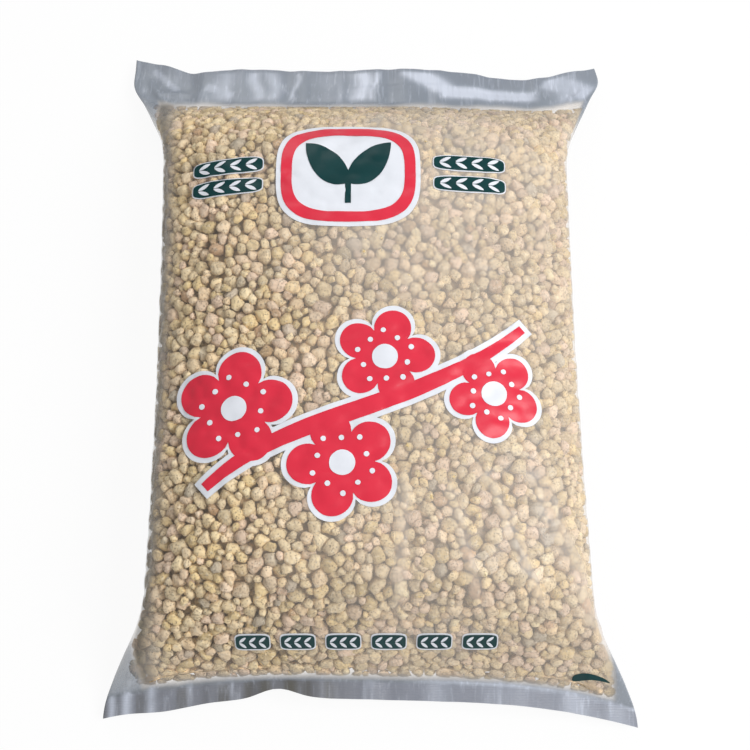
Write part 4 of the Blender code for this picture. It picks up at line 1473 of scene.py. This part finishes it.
def build_stage(bag):
    """The floor, two soft lamps, the even light and the camera of the photograph."""
    stage = bag.stage
    half = 0.5 * stage.floor_size
    signs = ((-1, -1), (1, -1), (1, 1), (-1, 1))
    corners = [(x * half, y * half, FLOOR_LEVEL) for x, y in signs]
    data = bpy.data.meshes.new("studio_floor")
    data.from_pydata(corners, [], [(0, 1, 2, 3)])
    data.materials.append(floor_look(bag.finishes))
    floor = bpy.data.objects.new("studio_floor", data)
    bpy.context.scene.collection.objects.link(floor)

    def lamp(name, power, size, place, aim):
        light = bpy.data.lights.new(name, "AREA")
        light.energy = power
        light.size = size
        made = bpy.data.objects.new(name, light)
        made.location = place
        made.rotation_euler = (Vector(place) - Vector(aim)).to_track_quat("Z", "Y").to_euler()
        bpy.context.scene.collection.objects.link(made)

    lamp("key_lamp", stage.key, 1.1, (1.20, -0.30, 1.62), (0.0, 0.0, 0.05))
    lamp("glance_lamp", stage.glance, 0.9, (-0.35, 1.35, 1.05), (0.0, 0.20, 0.05))

    world = bpy.data.worlds.new("studio")
    world.use_nodes = True
    tree = world.node_tree
    background = tree.nodes["Background"]
    paths = tree.nodes.new("ShaderNodeLightPath")
    seen = tree.nodes.new("ShaderNodeMath")
    seen.operation = "MULTIPLY_ADD"
    seen.inputs[1].default_value = 1.0 - stage.sky
    seen.inputs[2].default_value = stage.sky
    tree.links.new(paths.outputs["Is Camera Ray"], seen.inputs[0])
    tree.links.new(seen.outputs[0], background.inputs["Strength"])
    background.inputs["Color"].default_value = (1.0, 1.0, 1.0, 1.0)
    scene = bpy.context.scene
    scene.world = world
    scene.view_settings.view_transform = "Standard"

    camera = bpy.data.cameras.new("camera")
    camera.lens = stage.lens
    camera.sensor_width = 36.0
    camera.clip_start = 0.05
    made = bpy.data.objects.new("camera", camera)
    back = Vector((0.0, -math.sin(stage.tilt), math.cos(stage.tilt)))
    target = Vector((stage.target_x, stage.target_y, stage.target_z))
    made.location = target + back * stage.distance
    made.rotation_euler = (stage.tilt, 0.0, 0.0)
    scene.collection.objects.link(made)
    scene.camera = made


class POTTING_OT_granules(bpy.types.Operator):
    """Fill the bag with loose pumice granules"""

    bl_idname = "potting.granules"
    bl_label = "Granules"

    def execute(self, context):
        build_granules(context.scene.potting_bag)
        return {"FINISHED"}


class POTTING_OT_film(bpy.types.Operator):
    """Draw the clear film over the granules, with its seals, header and ears"""

    bl_idname = "potting.film"
    bl_label = "Film"

    def execute(self, context):
        build_film(context.scene.potting_bag)
        return {"FINISHED"}


class POTTING_OT_print(bpy.types.Operator):
    """Lay the printed fields on the front panel"""

    bl_idname = "potting.print"
    bl_label = "Print"

    def execute(self, context):
        build_print(context.scene.potting_bag)
        return {"FINISHED"}


class POTTING_OT_stage(bpy.types.Operator):
    """Set the floor, the lamps and the camera"""

    bl_idname = "potting.stage"
    bl_label = "Stage"

    def execute(self, context):
        build_stage(context.scene.potting_bag)
        return {"FINISHED"}


class POTTING_PT_panel(bpy.types.Panel):
    """The bag's operators and its sizes"""

    bl_idname = "POTTING_PT_panel"
    bl_label = "Potting Bag"
    bl_space_type = "VIEW_3D"
    bl_region_type = "UI"
    bl_category = "Potting Bag"

    def draw(self, context):
        for step in STEPS:
            self.layout.operator(step.bl_idname)
        bag = context.scene.potting_bag
        for group in (bag.tube, bag.granules, bag.prints, bag.finishes, bag.stage):
            box = self.layout.box()
            for name in group.__annotations__:
                box.prop(group, name)


STEPS = (POTTING_OT_granules, POTTING_OT_film, POTTING_OT_print, POTTING_OT_stage)
GROUPS = (TubeSizes, GranuleSizes, PrintSizes, Finishes, StageSizes, PottingBag)
CLASSES = (*GROUPS, *STEPS, POTTING_PT_panel)


def name_settings(group):
    """Each setting is shown under its own name in words."""
    for name, setting in group.__annotations__.items():
        setting.keywords["name"] = name.replace("_", " ").capitalize()


def register():
    for group in GROUPS:
        name_settings(group)
    for item in CLASSES:
        bpy.utils.register_class(item)
    bpy.types.Scene.potting_bag = PointerProperty(type=PottingBag)


def unregister():
    del bpy.types.Scene.potting_bag
    for item in reversed(CLASSES):
        bpy.utils.unregister_class(item)


def main():
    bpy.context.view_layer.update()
    register()
    bpy.ops.potting.granules()
    bpy.ops.potting.film()
    bpy.ops.potting.print()
    bpy.ops.potting.stage()


if __name__ == "__main__":
    main()
